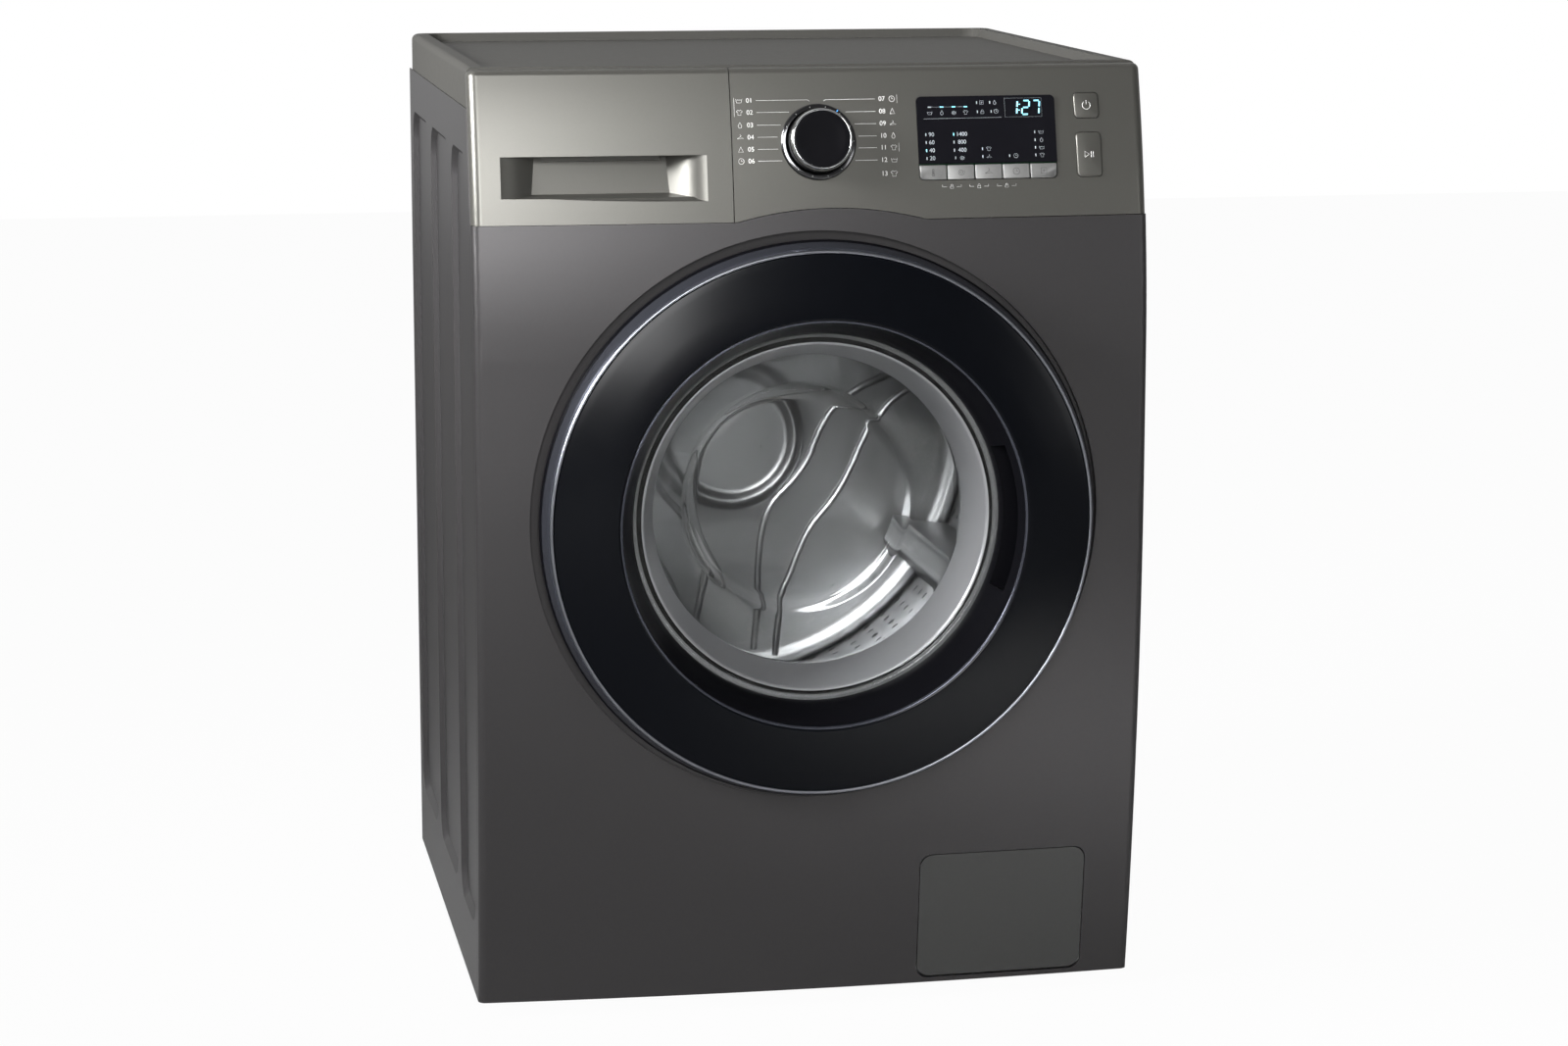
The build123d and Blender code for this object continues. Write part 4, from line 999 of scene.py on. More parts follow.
@dataclass
class Porthole:
    """The rubber bellows between the front panel and the tub."""

    centre: Point = (0.0, 0.0, AXIS_Z)

    def build(self) -> None:
        """Spin the bellows with its clip bead, lip and folds."""
        outline = Curve.soften([
            (174.2, -284.6, 0), (177.0, -285.0, 1.2), (179.4, -283.6, 1.2), (179.4, -264.0, 3.0),
            (191.6, -259.2, 4.0), (191.6, -239.0, 5.0), (184.0, -234.8, 3.0), (184.0, -207.2, 0.8),
            (180.2, -207.2, 0.8), (180.2, -238.2, 4.0), (187.8, -242.2, 4.0), (187.8, -255.8, 4.0),
            (176.0, -259.8, 5.0), (163.0, -261.8, 3.0), (155.4, -264.6, 1.2),
            (155.2, -268.0, 1.2), (163.0, -268.4, 3.0), (171.0, -269.4, 3.0), (174.2, -273.0, 2.0),
            (174.2, -284.6, 0),
        ])
        piece = Bench.lathe("door_bellows", outline, self.centre, steps=160, smooth=60.0)
        Bench.hand_over(piece, "cabinet", "seal_rubber", Finishes.SEAL, ("door_seal",))


@dataclass
class Drum:
    """The stainless drum: perforated wall, flared front, stepped back and three paddles."""

    body: str = "drum"
    centre: Point = (0.0, 0.0, AXIS_Z)
    radius: float = 242.6
    wall_front: float = -184.0
    wall_back: float = 176.0
    rows: int = 18
    columns: int = 72
    hole_inset: float = 7.4
    hole_corner: float = 1.6
    hole_sides: int = 8
    seam: float = 0.2
    sheet: float = 0.8
    wall_smooth: float = 40.0
    paddle_angles: tuple[float, ...] = (0.0, 120.0, 240.0)
    paddle_size: Point = (62.0, 322.0, 50.0)
    paddle_y: float = 2.5
    paddle_foot: float = 238.4
    paddle_taper: Point = (0.42, 0.90, 1.0)
    paddle_rim: float = 5.0
    paddle_dish: float = 3.0
    paddle_round: float = 5.0
    paddle_round_steps: int = 4
    paddle_round_angle: float = 25.0
    paddle_smooth: float = 45.0
    ridge_y: float = 175.4
    ridge_radius: float = 3.4
    ridges: tuple[Outline, ...] = (
        [(206, 526), (162, 513), (126, 500), (104, 480), (90, 455), (82, 430), (64, 406), (42, 386),
         (33, 362), (28, 322), (28, 285), (24, 238)],
        [(216, 508), (172, 497), (150, 472), (138, 448), (126, 420), (108, 388), (84, 362),
         (71, 336), (62, 310), (52, 290), (48, 262), (46, 230)],
    )

    def build(self) -> None:
        """Make and dress the drum's visible pieces."""
        wall = self.perforated_wall()
        front = self.front_flare()
        back = self.back_plate()
        shell = Bench.join("drum_wall", [wall, front, back, self.swirl()])
        Bench.hand_over(shell, self.body, "drum_steel", Finishes.DRUM, ("drum_shell",))
        self.paddles()

    def perforated_wall(self) -> bpy.types.Object:
        """Punch one column of holes, then turn copies of it into the drum's wall.

        Returns:
            The perforated wall.
        """
        Bench.clear()
        bpy.ops.mesh.primitive_grid_add(x_subdivisions=1, y_subdivisions=self.rows, size=1.0)
        piece = bpy.context.object
        length = (self.wall_back - self.wall_front) * MM
        width = 2 * self.radius * math.tan(math.pi / self.columns) * MM
        middle = (self.wall_back + self.wall_front) / 2 * MM
        piece.scale = (width, length, 1.0)
        piece.location = (0.0, middle, AXIS_Z - self.radius * MM)
        bpy.ops.object.transform_apply(location=True, rotation=False, scale=True)
        bpy.ops.object.mode_set(mode="EDIT")
        bpy.ops.mesh.select_mode(type="FACE")
        bpy.ops.mesh.select_all(action="SELECT")
        bpy.ops.mesh.inset(thickness=self.hole_inset * MM, use_individual=True)
        bpy.ops.mesh.bevel(offset=self.hole_corner * MM, segments=1, affect="VERTICES")
        bpy.ops.object.mode_set(mode="OBJECT")
        for face in piece.data.polygons:
            face.select = len(face.vertices) == self.hole_sides
        bpy.ops.object.mode_set(mode="EDIT")
        bpy.ops.mesh.delete(type="FACE")
        bpy.ops.mesh.select_all(action="SELECT")
        bpy.ops.mesh.spin(steps=self.columns, angle=FULL_TURN, dupli=True, center=self.centre,
                          axis=(0, 1, 0))
        bpy.ops.mesh.select_all(action="SELECT")
        bpy.ops.mesh.remove_doubles(threshold=self.seam * MM)
        bpy.ops.mesh.normals_make_consistent(inside=False)
        bpy.ops.object.mode_set(mode="OBJECT")
        sheet = piece.modifiers.new("sheet", "SOLIDIFY")
        sheet.thickness = self.sheet * MM
        sheet.offset = 0.0
        bpy.ops.object.modifier_apply(modifier=sheet.name)
        bpy.ops.object.shade_smooth_by_angle(angle=math.radians(self.wall_smooth))
        return piece

    def front_flare(self) -> bpy.types.Object:
        """Spin the front of the drum with its rolled mouth.

        Returns:
            The front flare.
        """
        outline = Curve.soften([
            (243.0, -183.0, 0), (242.8, -186.0, 2.0), (238.8, -189.0, 3.0), (205.0, -191.0, 8.0),
            (172.0, -194.0, 3.0), (167.2, -193.0, 2.0), (167.2, -186.2, 0.5), (168.2, -186.2, 0.5),
            (168.4, -191.6, 1.6), (172.0, -192.6, 3.0), (205.0, -189.8, 8.0),
            (238.2, -187.8, 3.0), (242.0, -184.0, 2.0), (242.2, -183.0, 0), (243.0, -183.0, 0),
        ])
        return Bench.lathe("drum_front", outline, self.centre, steps=160)

    def back_plate(self) -> bpy.types.Object:
        """Spin the back of the drum with its round hub ridge.

        Returns:
            The back plate.
        """
        outline = Curve.soften([
            (0.0, 169.0, 0), (57.0, 170.0, 4.0), (62.0, 167.0, 2.0), (66.0, 165.4, 2.0),
            (70.0, 167.6, 2.0), (75.0, 175.0, 3.0), (90.0, 176.0, 6.0), (224.0, 176.0, 6.0),
            (232.0, 172.0, 5.0), (240.0, 173.0, 3.0), (242.9, 176.5, 0), (242.9, 182.6, 0),
            (238.0, 182.6, 0), (0.0, 182.6, 0),
        ], steps=8)
        return Bench.lathe("drum_back", outline, self.centre, steps=160, smooth=50.0)

    def swirl(self) -> bpy.types.Object:
        """Press the swirling arms into the back: two ridges, copied around the axis.

        Returns:
            The ridges.
        """
        copies = []
        for angle in self.paddle_angles:
            for index, ridge in enumerate(self.ridges):
                points = [(x * MM, self.ridge_y * MM, z * MM) for x, z in ridge]
                bead = Bench.bead(f"drum_ridge_{index}", points, self.ridge_radius)
                copies.append(Bench.place(bead, self.turned(angle)))
        return Bench.join("drum_swirl", copies)

    @staticmethod
    def turned(angle: float) -> Matrix:
        """Give the turn about the drum axis by an angle in degrees."""
        shift = Matrix.Translation((0.0, 0.0, AXIS_Z))
        return shift @ Matrix.Rotation(math.radians(angle), 4, "Y") @ shift.inverted()

    def paddles(self) -> None:
        """Raise one paddle from a block, then copy it around the drum."""
        Bench.clear()
        bpy.ops.mesh.primitive_cube_add(size=1.0)
        first = bpy.context.object
        first.scale = [value * MM for value in self.paddle_size]
        middle = self.paddle_foot - self.paddle_size[2] / 2
        first.location = (0.0, self.paddle_y * MM, AXIS_Z + middle * MM)
        bpy.ops.object.transform_apply(location=True, rotation=False, scale=True)
        Bench.pick(first, "FACE", lambda face: face.normal.z < -0.9)
        bpy.ops.transform.resize(value=self.paddle_taper)
        bpy.ops.mesh.inset(thickness=self.paddle_rim * MM)
        bpy.ops.transform.translate(value=(0.0, 0.0, self.paddle_dish * MM))
        bpy.ops.object.mode_set(mode="OBJECT")
        edges = first.modifiers.new("edges", "BEVEL")
        edges.width = self.paddle_round * MM
        edges.segments = self.paddle_round_steps
        edges.angle_limit = math.radians(self.paddle_round_angle)
        bpy.ops.object.modifier_apply(modifier=edges.name)
        bpy.ops.object.shade_smooth_by_angle(angle=math.radians(self.paddle_smooth))
        copies = [first]
        for angle in self.paddle_angles:
            bpy.ops.object.select_all(action="DESELECT")
            first.select_set(True)
            bpy.context.view_layer.objects.active = first
            bpy.ops.object.duplicate(linked=False)
            copy = bpy.context.object
            copies.append(Bench.place(copy, self.turned(angle)))
        bpy.data.objects.remove(copies.pop(0))
        piece = Bench.join("drum_lifters", copies)
        Bench.hand_over(piece, self.body, "paddle_plastic", Finishes.PADDLE, ("drum_paddles",))


@dataclass
class Rear:
    """The fittings on the back panel: belt cover pressing, vents, transit caps and thread."""

    body: str = "cabinet"
    panel_y: float = 323.0
    cover_size: Point = (290.0, 440.0, 3.2)
    cover_place: tuple[float, float] = (0.0, 440.0)
    cover_corner: float = 70.0
    cover_edge: float = 2.4
    cover_steps: int = 10
    vent_size: Point = (74.0, 5.0, 2.6)
    vent_place: tuple[float, float] = (165.0, 700.0)
    vent_corner: float = 2.2
    vent_edge: float = 1.6
    vent_pitch: float = 11.0
    vents: int = 8
    cap_places: tuple[tuple[float, float], ...] = (
        (-215.0, 610.0), (215.0, 610.0), (-215.0, 290.0), (215.0, 290.0),
    )
    inlet: tuple[float, float] = (-190.0, 785.0)
    thread_start: float = 326.0
    thread_turns: int = 6
    thread_pitch: float = 1.9

    def build(self) -> None:
        """Make and dress the fittings."""
        self.pressings()
        self.caps()
        self.thread()

    def pose(self, x: float, z: float) -> Matrix:
        """Give the pose of a flat piece on the back panel, facing backwards."""
        turned = Matrix(((-1, 0, 0), (0, 0, 1), (0, 1, 0))).to_4x4()
        return Matrix.Translation(Vector((x, self.panel_y, z)) * MM) @ turned

    def pressings(self) -> None:
        """Raise the belt cover and the louvres from the panel."""
        cover = Bench.slab("rear_cover", self.cover_size, self.cover_corner, self.cover_edge,
                           self.cover_steps)
        Bench.place(cover, self.pose(*self.cover_place))
        louvres = [cover]
        x, z = self.vent_place
        for index in range(self.vents):
            louvre = Bench.slab(f"louvre_{index}", self.vent_size, self.vent_corner,
                                self.vent_edge)
            louvres.append(Bench.place(louvre, self.pose(x, z + index * self.vent_pitch)))
        piece = Bench.join("rear_pressings", louvres)
        Bench.hand_over(piece, self.body, "zinc_steel", Finishes.ZINC)

    def caps(self) -> None:
        """Turn the transit caps with their sunk middles."""
        outline = Curve.soften([
            (0.0, 1.6, 0), (9.0, 1.6, 0.8), (10.6, 4.6, 0.8), (15.0, 4.6, 1.2), (18.0, 2.4, 1.0),
            (18.0, 0.0, 0), (0.0, 0.0, 0),
        ])
        caps = [
            Bench.lathe(f"cap_{index}", outline, (x * MM, self.panel_y * MM, z * MM), steps=48)
            for index, (x, z) in enumerate(self.cap_places)
        ]
        piece = Bench.join("transit_caps", caps)
        Bench.hand_over(piece, self.body, "door_frame_grey", Finishes.FRAME_GREY)

    def thread(self) -> None:
        """Turn the thread ridges on the water inlet."""
        outline: Outline = [(12.9, self.thread_start)]
        for turn in range(self.thread_turns):
            start = self.thread_start + turn * self.thread_pitch
            outline += [(13.05, start + 0.2), (13.7, start + 0.75), (13.7, start + 1.05),
                        (13.05, start + 1.6)]
        outline += [(12.9, self.thread_start + self.thread_turns * self.thread_pitch), outline[0]]
        x, z = self.inlet
        piece = Bench.lathe("inlet_thread", outline, (x * MM, 0.0, z * MM), steps=64)
        Bench.hand_over(piece, self.body, "white_plastic", Finishes.WHITE)


class Pictogram(Enum):
    """Plain line symbols, as chains of points in a unit square."""

    BASIN = (((-.5, .25), (-.36, -.35), (.36, -.35), (.5, .25)),
             ((-.34, .06), (-.16, .16), (.02, .04), (.18, .14), (.36, .04)))
    SHIRT = (((-.2, .4), (-.5, .2), (-.36, 0), (-.25, .08), (-.25, -.4), (.25, -.4), (.25, .08),
              (.36, 0), (.5, .2), (.2, .4), (0, .28), (-.2, .4)),)
    FLASK = (((0, .45), (-.4, -.4), (.4, -.4), (0, .45)),)
    CLOCK = (tuple((.45 * math.sin(k * math.pi / 8), .45 * math.cos(k * math.pi / 8))
                   for k in range(17)), ((0, .26), (0, 0), (.2, 0)))
    LOCK = (((-.32, .02), (-.32, -.42), (.32, -.42), (.32, .02), (-.32, .02)),
            ((-.2, .02), (-.2, .26), (-.1, .4), (.1, .4), (.2, .26), (.2, .02)))
    THERMOMETER = (((-.1, -.12), (-.1, .4), (0, .48), (.1, .4), (.1, -.12), (.2, -.3), (.1, -.46),
                    (-.1, -.46), (-.2, -.3), (-.1, -.12)), ((0, -.3), (0, .2)))
    SPIRAL = (tuple(((.06 + .02 * k) * math.cos(k * .62), (.06 + .02 * k) * math.sin(k * .62))
                    for k in range(22)),)
    DROP = (((0, .48), (-.28, -.08), (-.2, -.36), (0, -.45), (.2, -.36), (.28, -.08), (0, .48)),)
    HANGER = (((-.5, -.2), (0, .12), (.5, -.2), (-.5, -.2)), ((0, .12), (.1, .32), (-.08, .42)))
    BOX = (((-.38, -.38), (.38, -.38), (.38, .38), (-.38, .38), (-.38, -.38)),
           ((0, -.2), (0, .2)), ((-.2, 0), (.2, 0)))
    POWER = (tuple((.42 * math.sin(math.radians(a)), .42 * math.cos(math.radians(a)))
                   for a in range(35, 330, 18)), ((0, .5), (0, .08)))
    START = (((-.5, -.32), (-.5, .32), (.02, 0), (-.5, -.32)), ((.22, .32), (.22, -.32)),
             ((.45, .32), (.45, -.32)))


class Ink:
    """Printed or lit marks on a face, drawn as fine raised lines and figures."""

    SEGMENTS = {
        "a": ((0, 1), (.5, 1)), "b": ((.5, 1), (.5, .5)), "c": ((.5, .5), (.5, 0)),
        "d": ((0, 0), (.5, 0)), "e": ((0, .5), (0, 0)), "f": ((0, 1), (0, .5)),
        "g": ((0, .5), (.5, .5)),
    }
    LIT = {"1": "bc", "2": "abged", "7": "abc"}

    def __init__(self, name: str, sheet: Callable[[float, float], Matrix]) -> None:
        """Start a set of marks.

        Args:
            name: The name of the joined piece.
            sheet: Gives the pose on the face at a place in millimetres.
        """
        self.name = name
        self.sheet = sheet
        self.lines: dict[float, list[list[Vector]]] = {}
        self.made: list[bpy.types.Object] = []

    def line(self, points: Iterable[tuple[float, float]], width: float) -> None:
        """Add a line through places on the face, of a width in millimetres."""
        spots = [self.sheet(x, y).translation for x, y in points]
        self.lines.setdefault(width, []).append(spots)

    def figures(self, text: str, x: float, y: float, height: float) -> None:
        """Add figures of a height in millimetres, centred at a place."""
        piece = Bench.letters(self.name, text, height)
        self.made.append(Bench.place(piece, self.sheet(x, y)))

    def icon(self, icon: Pictogram, x: float, y: float, size: float, width: float = 0.28) -> None:
        """Add a symbol of a size in millimetres, centred at a place."""
        for chain in icon.value:
            self.line([(x + px * size, y + py * size) for px, py in chain], width)

    def finish(self, finish: Finish) -> bpy.types.Object:
        """Turn the lines into meshes and join all marks into one piece.

        Args:
            finish: The marks' finish.

        Returns:
            The joined piece.
        """
        for width, chains in self.lines.items():
            data = bpy.data.curves.new(self.name, "CURVE")
            data.dimensions = "3D"
            data.bevel_depth = width / 2 * MM
            data.bevel_resolution = 1
            data.use_fill_caps = True
            for chain in chains:
                spline = data.splines.new("POLY")
                spline.points.add(len(chain) - 1)
                for point, spot in zip(spline.points, chain):
                    point.co = (*spot, 1.0)
            piece = bpy.data.objects.new(self.name, data)
            bpy.context.scene.collection.objects.link(piece)
            Bench.clear()
            piece.select_set(True)
            bpy.context.view_layer.objects.active = piece
            bpy.ops.object.convert(target="MESH")
            self.made.append(bpy.context.object)
        joined = Bench.join(self.name, self.made)
        joined.data.materials.clear()
        joined.data.materials.append(finish.material())
        return joined


@dataclass
class DisplayMarks:
    """The lit and pale marks of the display, in millimetres from its upper left corner."""

    at: tuple[float, float]
    size: tuple[float, float]
    scale: tuple[float, float] = (0.958, 0.932)
    proud: float = 0.36
    icon_size: float = 4.6
    icon_line: float = 0.26
    half_bar: float = 1.2
    bar_line: float = 0.8
    flow: tuple[tuple[Pictogram, float], ...] = (
        (Pictogram.BASIN, 12.2), (Pictogram.DROP, 23.6), (Pictogram.SPIRAL, 34.9),
        (Pictogram.SHIRT, 46.2),
    )
    flow_down: float = 10.2
    flow_half_bar: float = 1.6
    flow_bar_line: float = 1.1
    flow_link_line: float = 0.16
    flow_icon_down: float = 15.6
    options: tuple[tuple[Pictogram, float, float], ...] = (
        (Pictogram.BOX, 61.6, 6.6), (Pictogram.DROP, 74.0, 6.6), (Pictogram.LOCK, 62.0, 15.2),
        (Pictogram.CLOCK, 75.0, 15.0),
    )
    option_size: float = 4.4
    option_bar_left: float = 4.6
    rule: tuple[tuple[float, float], ...] = ((6.4, 21.2), (80.0, 20.8))
    rule_line: float = 0.22
    time_box: tuple[tuple[float, float], ...] = (
        (83.4, 2.8), (118.4, 2.8), (118.4, 20.6), (83.4, 20.6), (83.4, 2.8),
    )
    time_box_line: float = 0.12
    figure_rows: tuple[float, ...] = (36.2, 43.6, 51.2, 58.6)
    figure_columns: tuple[tuple[float, float, str, tuple[str, ...]], ...] = (
        (12.8, 7.6, "40", ("90", "60", "40", "20")), (41.4, 33.8, "1400", ("1400", "800", "400")),
    )
    figure_height: float = 3.5
    figure_half_bar: float = 1.3
    figure_bar_line: float = 0.9
    choices: tuple[tuple[Pictogram, float, float], ...] = (
        (Pictogram.SPIRAL, 40.6, 58.4), (Pictogram.SHIRT, 66.4, 50.4),
        (Pictogram.HANGER, 66.4, 57.8), (Pictogram.CLOCK, 91.8, 57.4),
        (Pictogram.BASIN, 116.8, 35.2), (Pictogram.DROP, 116.8, 42.8),
        (Pictogram.BASIN, 116.8, 50.0), (Pictogram.SHIRT, 116.8, 57.2),
    )
    choice_bar_left: float = 6.0
    digits: tuple[tuple[str, float], ...] = (("1", 88.0), ("2", 99.4), ("7", 109.0))
    digit_height: float = 13.0
    digit_foot: float = 18.3
    digit_lean: float = 0.10
    digit_line: float = 1.45
    digit_gap: float = 0.9
    colon_across: float = 96.6
    colon_rises: tuple[float, float] = (3.6, 9.2)
    colon_dot: float = 0.8
    colon_line: float = 1.3

    def draw(self) -> None:
        """Make and dress the display's digits, bars, numbers and symbols."""
        lit = Ink("display_lit", self.spot)
        dim = Ink("display_dim", self.spot)
        self.time_left(lit)
        self.flow_bars(lit, dim)
        for icon, across, down in self.options:
            self.upright(dim, icon, across, down, self.option_size)
            self.bar(dim, across - self.option_bar_left, down)
        dim.line(self.rule, self.rule_line)
        dim.line(self.time_box, self.time_box_line)
        half = self.figure_half_bar
        for across, bar, chosen, texts in self.figure_columns:
            for text, down in zip(texts, self.figure_rows):
                dim.figures(text, across, down, self.figure_height)
                ends = [(bar, down - half), (bar, down + half)]
                (lit if text == chosen else dim).line(ends, self.figure_bar_line)
        for icon, across, down in self.choices:
            self.upright(dim, icon, across, down, self.icon_size)
            self.bar(dim, across - self.choice_bar_left, down)
        Bench.hand_over(lit.finish(Finishes.GLOW), "cabinet", "display_black", Finishes.GLOW)
        Bench.hand_over(dim.finish(Finishes.DIM), "cabinet", "display_black", Finishes.DIM)

    def spot(self, across: float, down: float) -> Matrix:
        """Give the pose at a place measured from the display's upper left corner."""
        x, y = across * self.scale[0], down * self.scale[1]
        shift = ((x - self.size[0] / 2) * MM, (self.size[1] / 2 - y) * MM, 0.0)
        return FRONT.pose(*self.at, self.proud) @ Matrix.Translation(shift)

    def bar(self, ink: Ink, across: float, down: float) -> None:
        """Draw the short upright bar beside a symbol."""
        ink.line([(across, down - self.half_bar), (across, down + self.half_bar)], self.bar_line)

    def upright(self, ink: Ink, icon: Pictogram, across: float, down: float, size: float) -> None:
        """Draw a symbol where distances are measured downwards."""
        for chain in icon.value:
            ink.line([(across + x * size, down - y * size) for x, y in chain], self.icon_line)

    def flow_bars(self, lit: Ink, dim: Ink) -> None:
        """Draw the steps of the programme: a bar each, the first one pale, and a symbol each.

        Args:
            lit: The lit marks to add to.
            dim: The pale marks to add to.
        """
        down, half = self.flow_down, self.flow_half_bar
        for index, (_, across) in enumerate(self.flow):
            ends = [(across - half, down), (across + half, down)]
            (lit if index else dim).line(ends, self.flow_bar_line)
        dim.line([(self.flow[0][1], down), (self.flow[-1][1], down)], self.flow_link_line)
        for icon, across in self.flow:
            self.upright(dim, icon, across, self.flow_icon_down, self.icon_size)

    def time_left(self, ink: Ink) -> None:
        """Draw the remaining time in slanted seven-segment digits."""
        foot, lean = self.digit_foot, self.digit_lean
        for digit, across in self.digits:
            for name in Ink.LIT[digit]:
                start, end = (Vector(end) * self.digit_height for end in Ink.SEGMENTS[name])
                trim = (end - start).normalized() * self.digit_gap
                ends = (start + trim, end - trim)
                ink.line([(across + p.x + lean * p.y, foot - p.y) for p in ends], self.digit_line)
        for rise in self.colon_rises:
            across = self.colon_across + lean * rise
            ends = [(across, foot - rise), (across, foot - rise - self.colon_dot)]
            ink.line(ends, self.colon_line)


@dataclass
class ProgrammeMarks:
    """The numbered programmes beside the knob and the marks under the keys, in millimetres."""

    knob_at: tuple[float, float]
    ring_radius: float
    proud: float = 0.05
    left_rows: tuple[float, ...] = (820.6, 810.4, 799.6, 789.3, 779.0, 769.0)
    right_rows: tuple[float, ...] = (820.6, 810.0, 799.6, 789.1, 779.0, 768.4)
    label_left: float = -67.0
    label_right: float = 70.5
    icons: tuple[Pictogram, ...] = (
        Pictogram.BASIN, Pictogram.SHIRT, Pictogram.DROP, Pictogram.HANGER, Pictogram.FLASK,
        Pictogram.CLOCK,
    )
    icon_size: float = 5.4
    line: float = 0.36
    figure_height: float = 4.0
    left_steps: Point = (2.0, 11.0, 17.0)
    right_steps: Point = (0.0, -9.0, -15.0)
    bend: float = 8.0
    bend_drop: float = 1.6
    ring_gap: float = 2.0
    line_gap: float = 0.6
    bracket_line: float = 0.3
    left_bracket: Point = (-2.4, -3.5, 2.5)
    right_bracket: Point = (4.6, -3.5, 3.5)
    extra_at: tuple[float, float] = (-0.5, 756.6)
    extra_size: float = 6.0
    lock_places: tuple[float, ...] = (121.4, 146.0, 171.2)
    lock_z: float = 744.6
    lock_size: float = 4.2
    lock_line: float = 0.32
    hook_foot: float = 744.2
    hook_top: float = 746.0
    hook_reach: tuple[float, float] = (8.5, 4.6)

    def draw(self) -> None:
        """Make and dress the printed marks."""
        ink = Ink("programme_print", lambda x, z: FRONT.pose(x, z, self.proud))
        count = len(self.left_rows)
        self.labels(ink, self.left_rows, self.icons, self.label_left, self.left_steps, 1, -1)
        self.labels(ink, self.right_rows, self.icons[::-1], self.label_right, self.right_steps,
                    count + 1, 1)
        for label, bracket, rows, last in (
            (self.label_left, self.left_bracket, self.left_rows, 1),
            (self.label_right, self.right_bracket, self.right_rows, 4),
        ):
            x, below, above = label + bracket[0], bracket[1], bracket[2]
            ink.line([(x, rows[last] + below), (x, rows[0] + above)], self.bracket_line)
        self.extra(ink, 2 * count + 1)
        self.locks(ink)
        Bench.hand_over(ink.finish(Finishes.PRINT), "cabinet", "fascia_plastic", Finishes.PRINT)

    def labels(
        self, ink: Ink, rows: tuple[float, ...], icons: tuple[Pictogram, ...], label: float,
        steps: Point, first: int, side: int,
    ) -> None:
        """Print one side's symbols, numbers and leader lines.

        Args:
            ink: The marks to add to.
            rows: The heights of the rows.
            icons: The rows' symbols.
            label: Where the labels stand.
            steps: From there to the symbol, the number and the start of the line.
            first: The first row's number.
            side: Minus one at the left of the knob, one at its right.
        """
        to_icon, to_figure, to_line = steps
        for index, z in enumerate(rows):
            ink.icon(icons[index], label + to_icon, z, self.icon_size, self.line)
            ink.figures(f"{index + first:02d}", label + to_figure, z, self.figure_height)
            self.leader(ink, label + to_line, z, side)

    def leader(self, ink: Ink, start_x: float, z: float, side: int) -> None:
        """Draw one leader line from a label to the ring around the knob.

        Args:
            ink: The marks to add to.
            start_x: Where the line starts, at the label.
            z: Its height.
            side: Minus one at the left of the knob, one at its right.
        """
        centre_x, centre_z = self.knob_at
        reach = self.ring_radius + self.ring_gap
        rise = z - centre_z
        if abs(rise) < reach:
            end = centre_x + side * (math.sqrt(reach**2 - rise**2) + self.line_gap)
            ink.line([(start_x, z), (end, z)], self.line)
            return
        bend_x = centre_x + side * self.bend
        drop_x = bend_x - side * self.bend_drop
        low = centre_z + math.sqrt(reach**2 - (drop_x - centre_x) ** 2)
        ink.line([(start_x, z), (bend_x, z), (drop_x, low)], self.line)

    def extra(self, ink: Ink, number: int) -> None:
        """Print the last programme, which stands under the right rows without a line."""
        x, z = self.extra_at
        ink.icon(Pictogram.SHIRT, self.label_right + x, z, self.extra_size, self.line)
        ink.figures(str(number), self.label_right + self.right_steps[1], z, self.figure_height)

    def locks(self, ink: Ink) -> None:
        """Print the hooked pairs of keys with the symbols between the hooks."""
        far, near = self.hook_reach
        for x in self.lock_places:
            for side in (-1, 1):
                ink.line([(x + side * far, self.hook_top), (x + side * far, self.hook_foot),
                          (x + side * near, self.hook_foot)], self.bracket_line)
            ink.icon(Pictogram.LOCK, x, self.lock_z, self.lock_size, self.lock_line)


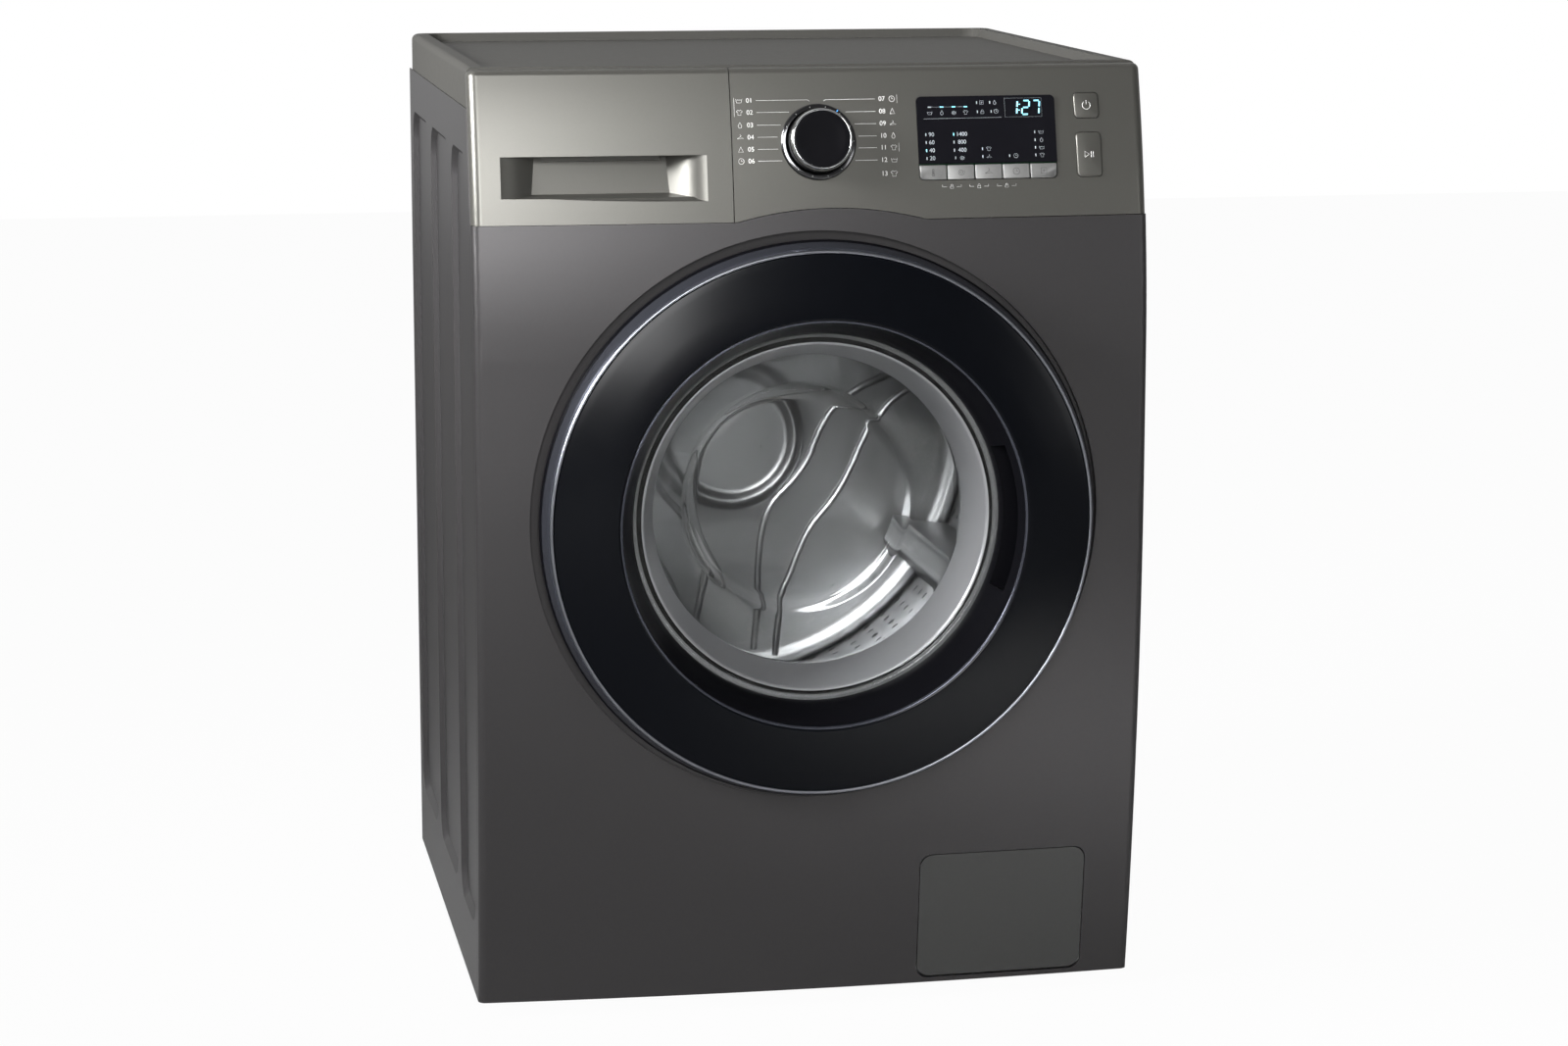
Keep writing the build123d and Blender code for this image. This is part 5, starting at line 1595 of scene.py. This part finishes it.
@dataclass
class ControlPanel:
    """Knob, display and keys, in millimetres, with the marks around them."""

    knob_at: tuple[float, float] = (3.5, 784.5)
    ring_radius: float = 33.5
    display_at: tuple[float, float] = (155.0, 786.3)
    display_size: tuple[float, float] = (125.5, 73.6)
    display_corner: float = 4.5
    key_strip: float = 14.2
    key_gap: float = 1.2
    key_count: int = 5
    key_depth: float = 4.0
    key_sink: float = -3.0
    key_corner: float = 1.0
    key_edge: float = 0.5
    key_icon_size: float = 6.6
    key_icon_line: float = 0.34
    outline_gap: float = 0.8
    outline_depth: float = 20.0
    key_icons: tuple[Pictogram, ...] = (
        Pictogram.THERMOMETER, Pictogram.SPIRAL, Pictogram.HANGER, Pictogram.CLOCK, Pictogram.BOX,
    )
    power_at: tuple[float, float] = (246.7, 812.3)
    power_size: tuple[float, float] = (22.6, 22.6)
    power_icon_size: float = 8.6
    start_at: tuple[float, float] = (247.5, 769.9)
    start_size: tuple[float, float] = (22.8, 39.2)
    start_icon_size: float = 8.2
    big_corner: float = 3.6
    big_edge: float = 1.0
    big_icon_line: float = 0.5
    knob_steps: int = 96
    stops: int = 14
    stop_reach: tuple[float, float] = (30.2, 31.4)
    stop_line: float = 0.4
    stop_height: float = 3.12
    light_angle: float = 57.0
    light_reach: tuple[float, float] = (31.0, 32.6)
    light_line: float = 1.0
    light_height: float = 2.75

    def build(self) -> None:
        """Make and dress everything on the control panel."""
        self.knob()
        self.bezel()
        self.option_keys()
        self.big_key("power_key", "power_button", self.power_at, self.power_size,
                     Pictogram.POWER, self.power_icon_size)
        self.big_key("start_key", "start_button", self.start_at, self.start_size,
                     Pictogram.START, self.start_icon_size)
        DisplayMarks(self.display_at, self.display_size).draw()
        ProgrammeMarks(self.knob_at, self.ring_radius).draw()

    @staticmethod
    def level(pose: Matrix, height: float) -> Callable[[float, float], Matrix]:
        """Give the sheet for marks at a height in millimetres above a pose."""
        return lambda x, y: pose @ Matrix.Translation((x * MM, y * MM, height * MM))

    @staticmethod
    def spoke(angle: float, reach: tuple[float, float]) -> Outline:
        """Give the ends of a line that points away from the knob's middle at an angle."""
        turn = math.radians(angle)
        return [(radius * math.cos(turn), radius * math.sin(turn)) for radius in reach]

    def turned(self, name: str, points: list[Point]) -> bpy.types.Object:
        """Turn a piece about the knob's axis.

        Args:
            name: The new piece's name.
            points: Its outline, as for Curve.soften.

        Returns:
            The piece in its place.
        """
        piece = Bench.lathe(name, Curve.soften(points), (0, 0, 0), (0, 0, 1), self.knob_steps)
        return Bench.place(piece, FRONT.pose(*self.knob_at))

    def knob(self) -> None:
        """Turn the knob's black cap and its bright edge."""
        piece = self.turned("knob_cap", [
            (0.0, 18.9, 0), (14.0, 19.1, 6.0), (21.5, 19.7, 3.0), (24.9, 19.5, 0.6),
            (25.3, 16.6, 0.4), (27.2, 15.6, 0.6), (27.9, 13.0, 1.0), (27.9, 4.4, 0.5),
            (26.0, 4.1, 0.4), (3.0, 4.1, 0), (3.0, -16.0, 0), (0.0, -16.0, 0),
        ])
        Bench.hand_over(piece, "program_knob", "knob_black", Finishes.KNOB, ("program_knob",))
        piece = self.turned("knob_edge", [
            (24.8, 18.6, 0), (24.8, 19.8, 0.5), (25.6, 20.0, 0.5), (26.9, 18.6, 1.0),
            (27.7, 15.6, 0.8), (27.0, 15.0, 0.4), (25.2, 16.2, 0.4), (24.8, 18.6, 0),
        ])
        Bench.hand_over(piece, "program_knob", "chrome_trim", Finishes.CHROME)

    def bezel(self) -> None:
        """Turn the ring around the knob and mark its stops and its light."""
        pose = FRONT.pose(*self.knob_at)
        piece = self.turned("knob_ring", [
            (9.0, 0.25, 0), (33.3, 0.25, 0.3), (33.5, 1.2, 0.6), (32.6, 2.7, 0.8), (29.6, 3.5, 0.8),
            (28.6, 3.0, 0.5), (28.4, 1.4, 0.4), (9.0, 1.4, 0), (9.0, 0.25, 0),
        ])
        Bench.hand_over(piece, "cabinet", "chrome_trim", Finishes.DARK_CHROME, ("knob_bezel",))
        ticks = Ink("knob_ticks", self.level(pose, self.stop_height))
        for step in range(self.stops):
            angle = 90 + (step + 0.5) * 360 / self.stops
            ticks.line(self.spoke(angle, self.stop_reach), self.stop_line)
        Bench.hand_over(ticks.finish(Finishes.PRINT), "cabinet", "chrome_trim", Finishes.PRINT)
        light = Ink("knob_light", self.level(pose, self.light_height))
        light.line(self.spoke(self.light_angle, self.light_reach), self.light_line)
        Bench.hand_over(light.finish(Finishes.BLUE_LIGHT), "cabinet", "display_black",
                        Finishes.BLUE_LIGHT)

    def option_keys(self) -> None:
        """Make the row of silver keys under the display, each with its symbol."""
        pitch = self.display_size[0] / self.key_count
        z = self.display_at[1] - self.display_size[1] / 2 + self.key_strip / 2
        for index in range(self.key_count):
            x = self.display_at[0] + (index - (self.key_count - 1) / 2) * pitch
            size = (pitch - self.key_gap, self.key_strip - self.key_gap, self.key_depth)
            key = Bench.slab(f"option_key_{index + 1}", size, self.key_corner, self.key_edge)
            key.data.materials.append(Finishes.KEY.material())
            pose = FRONT.pose(x, z, self.key_sink)
            Bench.place(key, pose)
            self.trim(key)
            ink = Ink("symbol", self.level(pose, self.key_depth))
            ink.icon(self.key_icons[index], 0.0, 0.0, self.key_icon_size, self.key_icon_line)
            piece = Bench.join(key.name, [key, ink.finish(Finishes.DARK_PRINT)])
            body = f"option_button_{index + 1}"
            Bench.hand_over(piece, body, "key_silver", Finishes.KEY, (body,))

    def trim(self, key: bpy.types.Object) -> None:
        """Cut a key back to the rounded outline that it shares with the display.

        Args:
            key: The key, in its place.
        """
        wide, high = (value - self.outline_gap for value in self.display_size)
        size = (wide, high, self.outline_depth)
        outline = Bench.slab("display_outline", size, self.display_corner)
        Bench.place(outline, FRONT.pose(*self.display_at, -self.outline_depth / 2))
        Bench.clear()
        key.select_set(True)
        bpy.context.view_layer.objects.active = key
        cut = key.modifiers.new("outline", "BOOLEAN")
        cut.operation = "INTERSECT"
        cut.object = outline
        bpy.ops.object.modifier_apply(modifier=cut.name)
        bpy.data.objects.remove(outline)

    def big_key(
        self, name: str, body: str, at: tuple[float, float], size: tuple[float, float],
        icon: Pictogram, icon_size: float,
    ) -> None:
        """Make one of the two large keys at the right.

        Args:
            name: The new piece's name.
            body: The CAD body, whose one node has the same name.
            at: Its place on the front.
            size: Its width and height.
            icon: Its symbol.
            icon_size: The symbol's size.
        """
        key = Bench.slab(name, (*size, self.key_depth), self.big_corner, self.big_edge)
        key.data.materials.append(Finishes.FASCIA.material())
        pose = FRONT.pose(*at, self.key_sink)
        Bench.place(key, pose)
        ink = Ink("symbol", self.level(pose, self.key_depth))
        ink.icon(icon, 0.0, 0.0, icon_size, self.big_icon_line)
        piece = Bench.join(name, [key, ink.finish(Finishes.PRINT)])
        Bench.hand_over(piece, body, "key_silver", Finishes.FASCIA, (body,))


def main() -> None:
    """Build the studio, dress the CAD nodes and add the detailed pieces."""
    logging.basicConfig(level=logging.INFO)
    Studio().build()
    Finishes.dress_nodes()
    for part in (Door(), Porthole(), Drum(), ControlPanel(), Rear()):
        part.build()


if __name__ == "__main__":
    main()
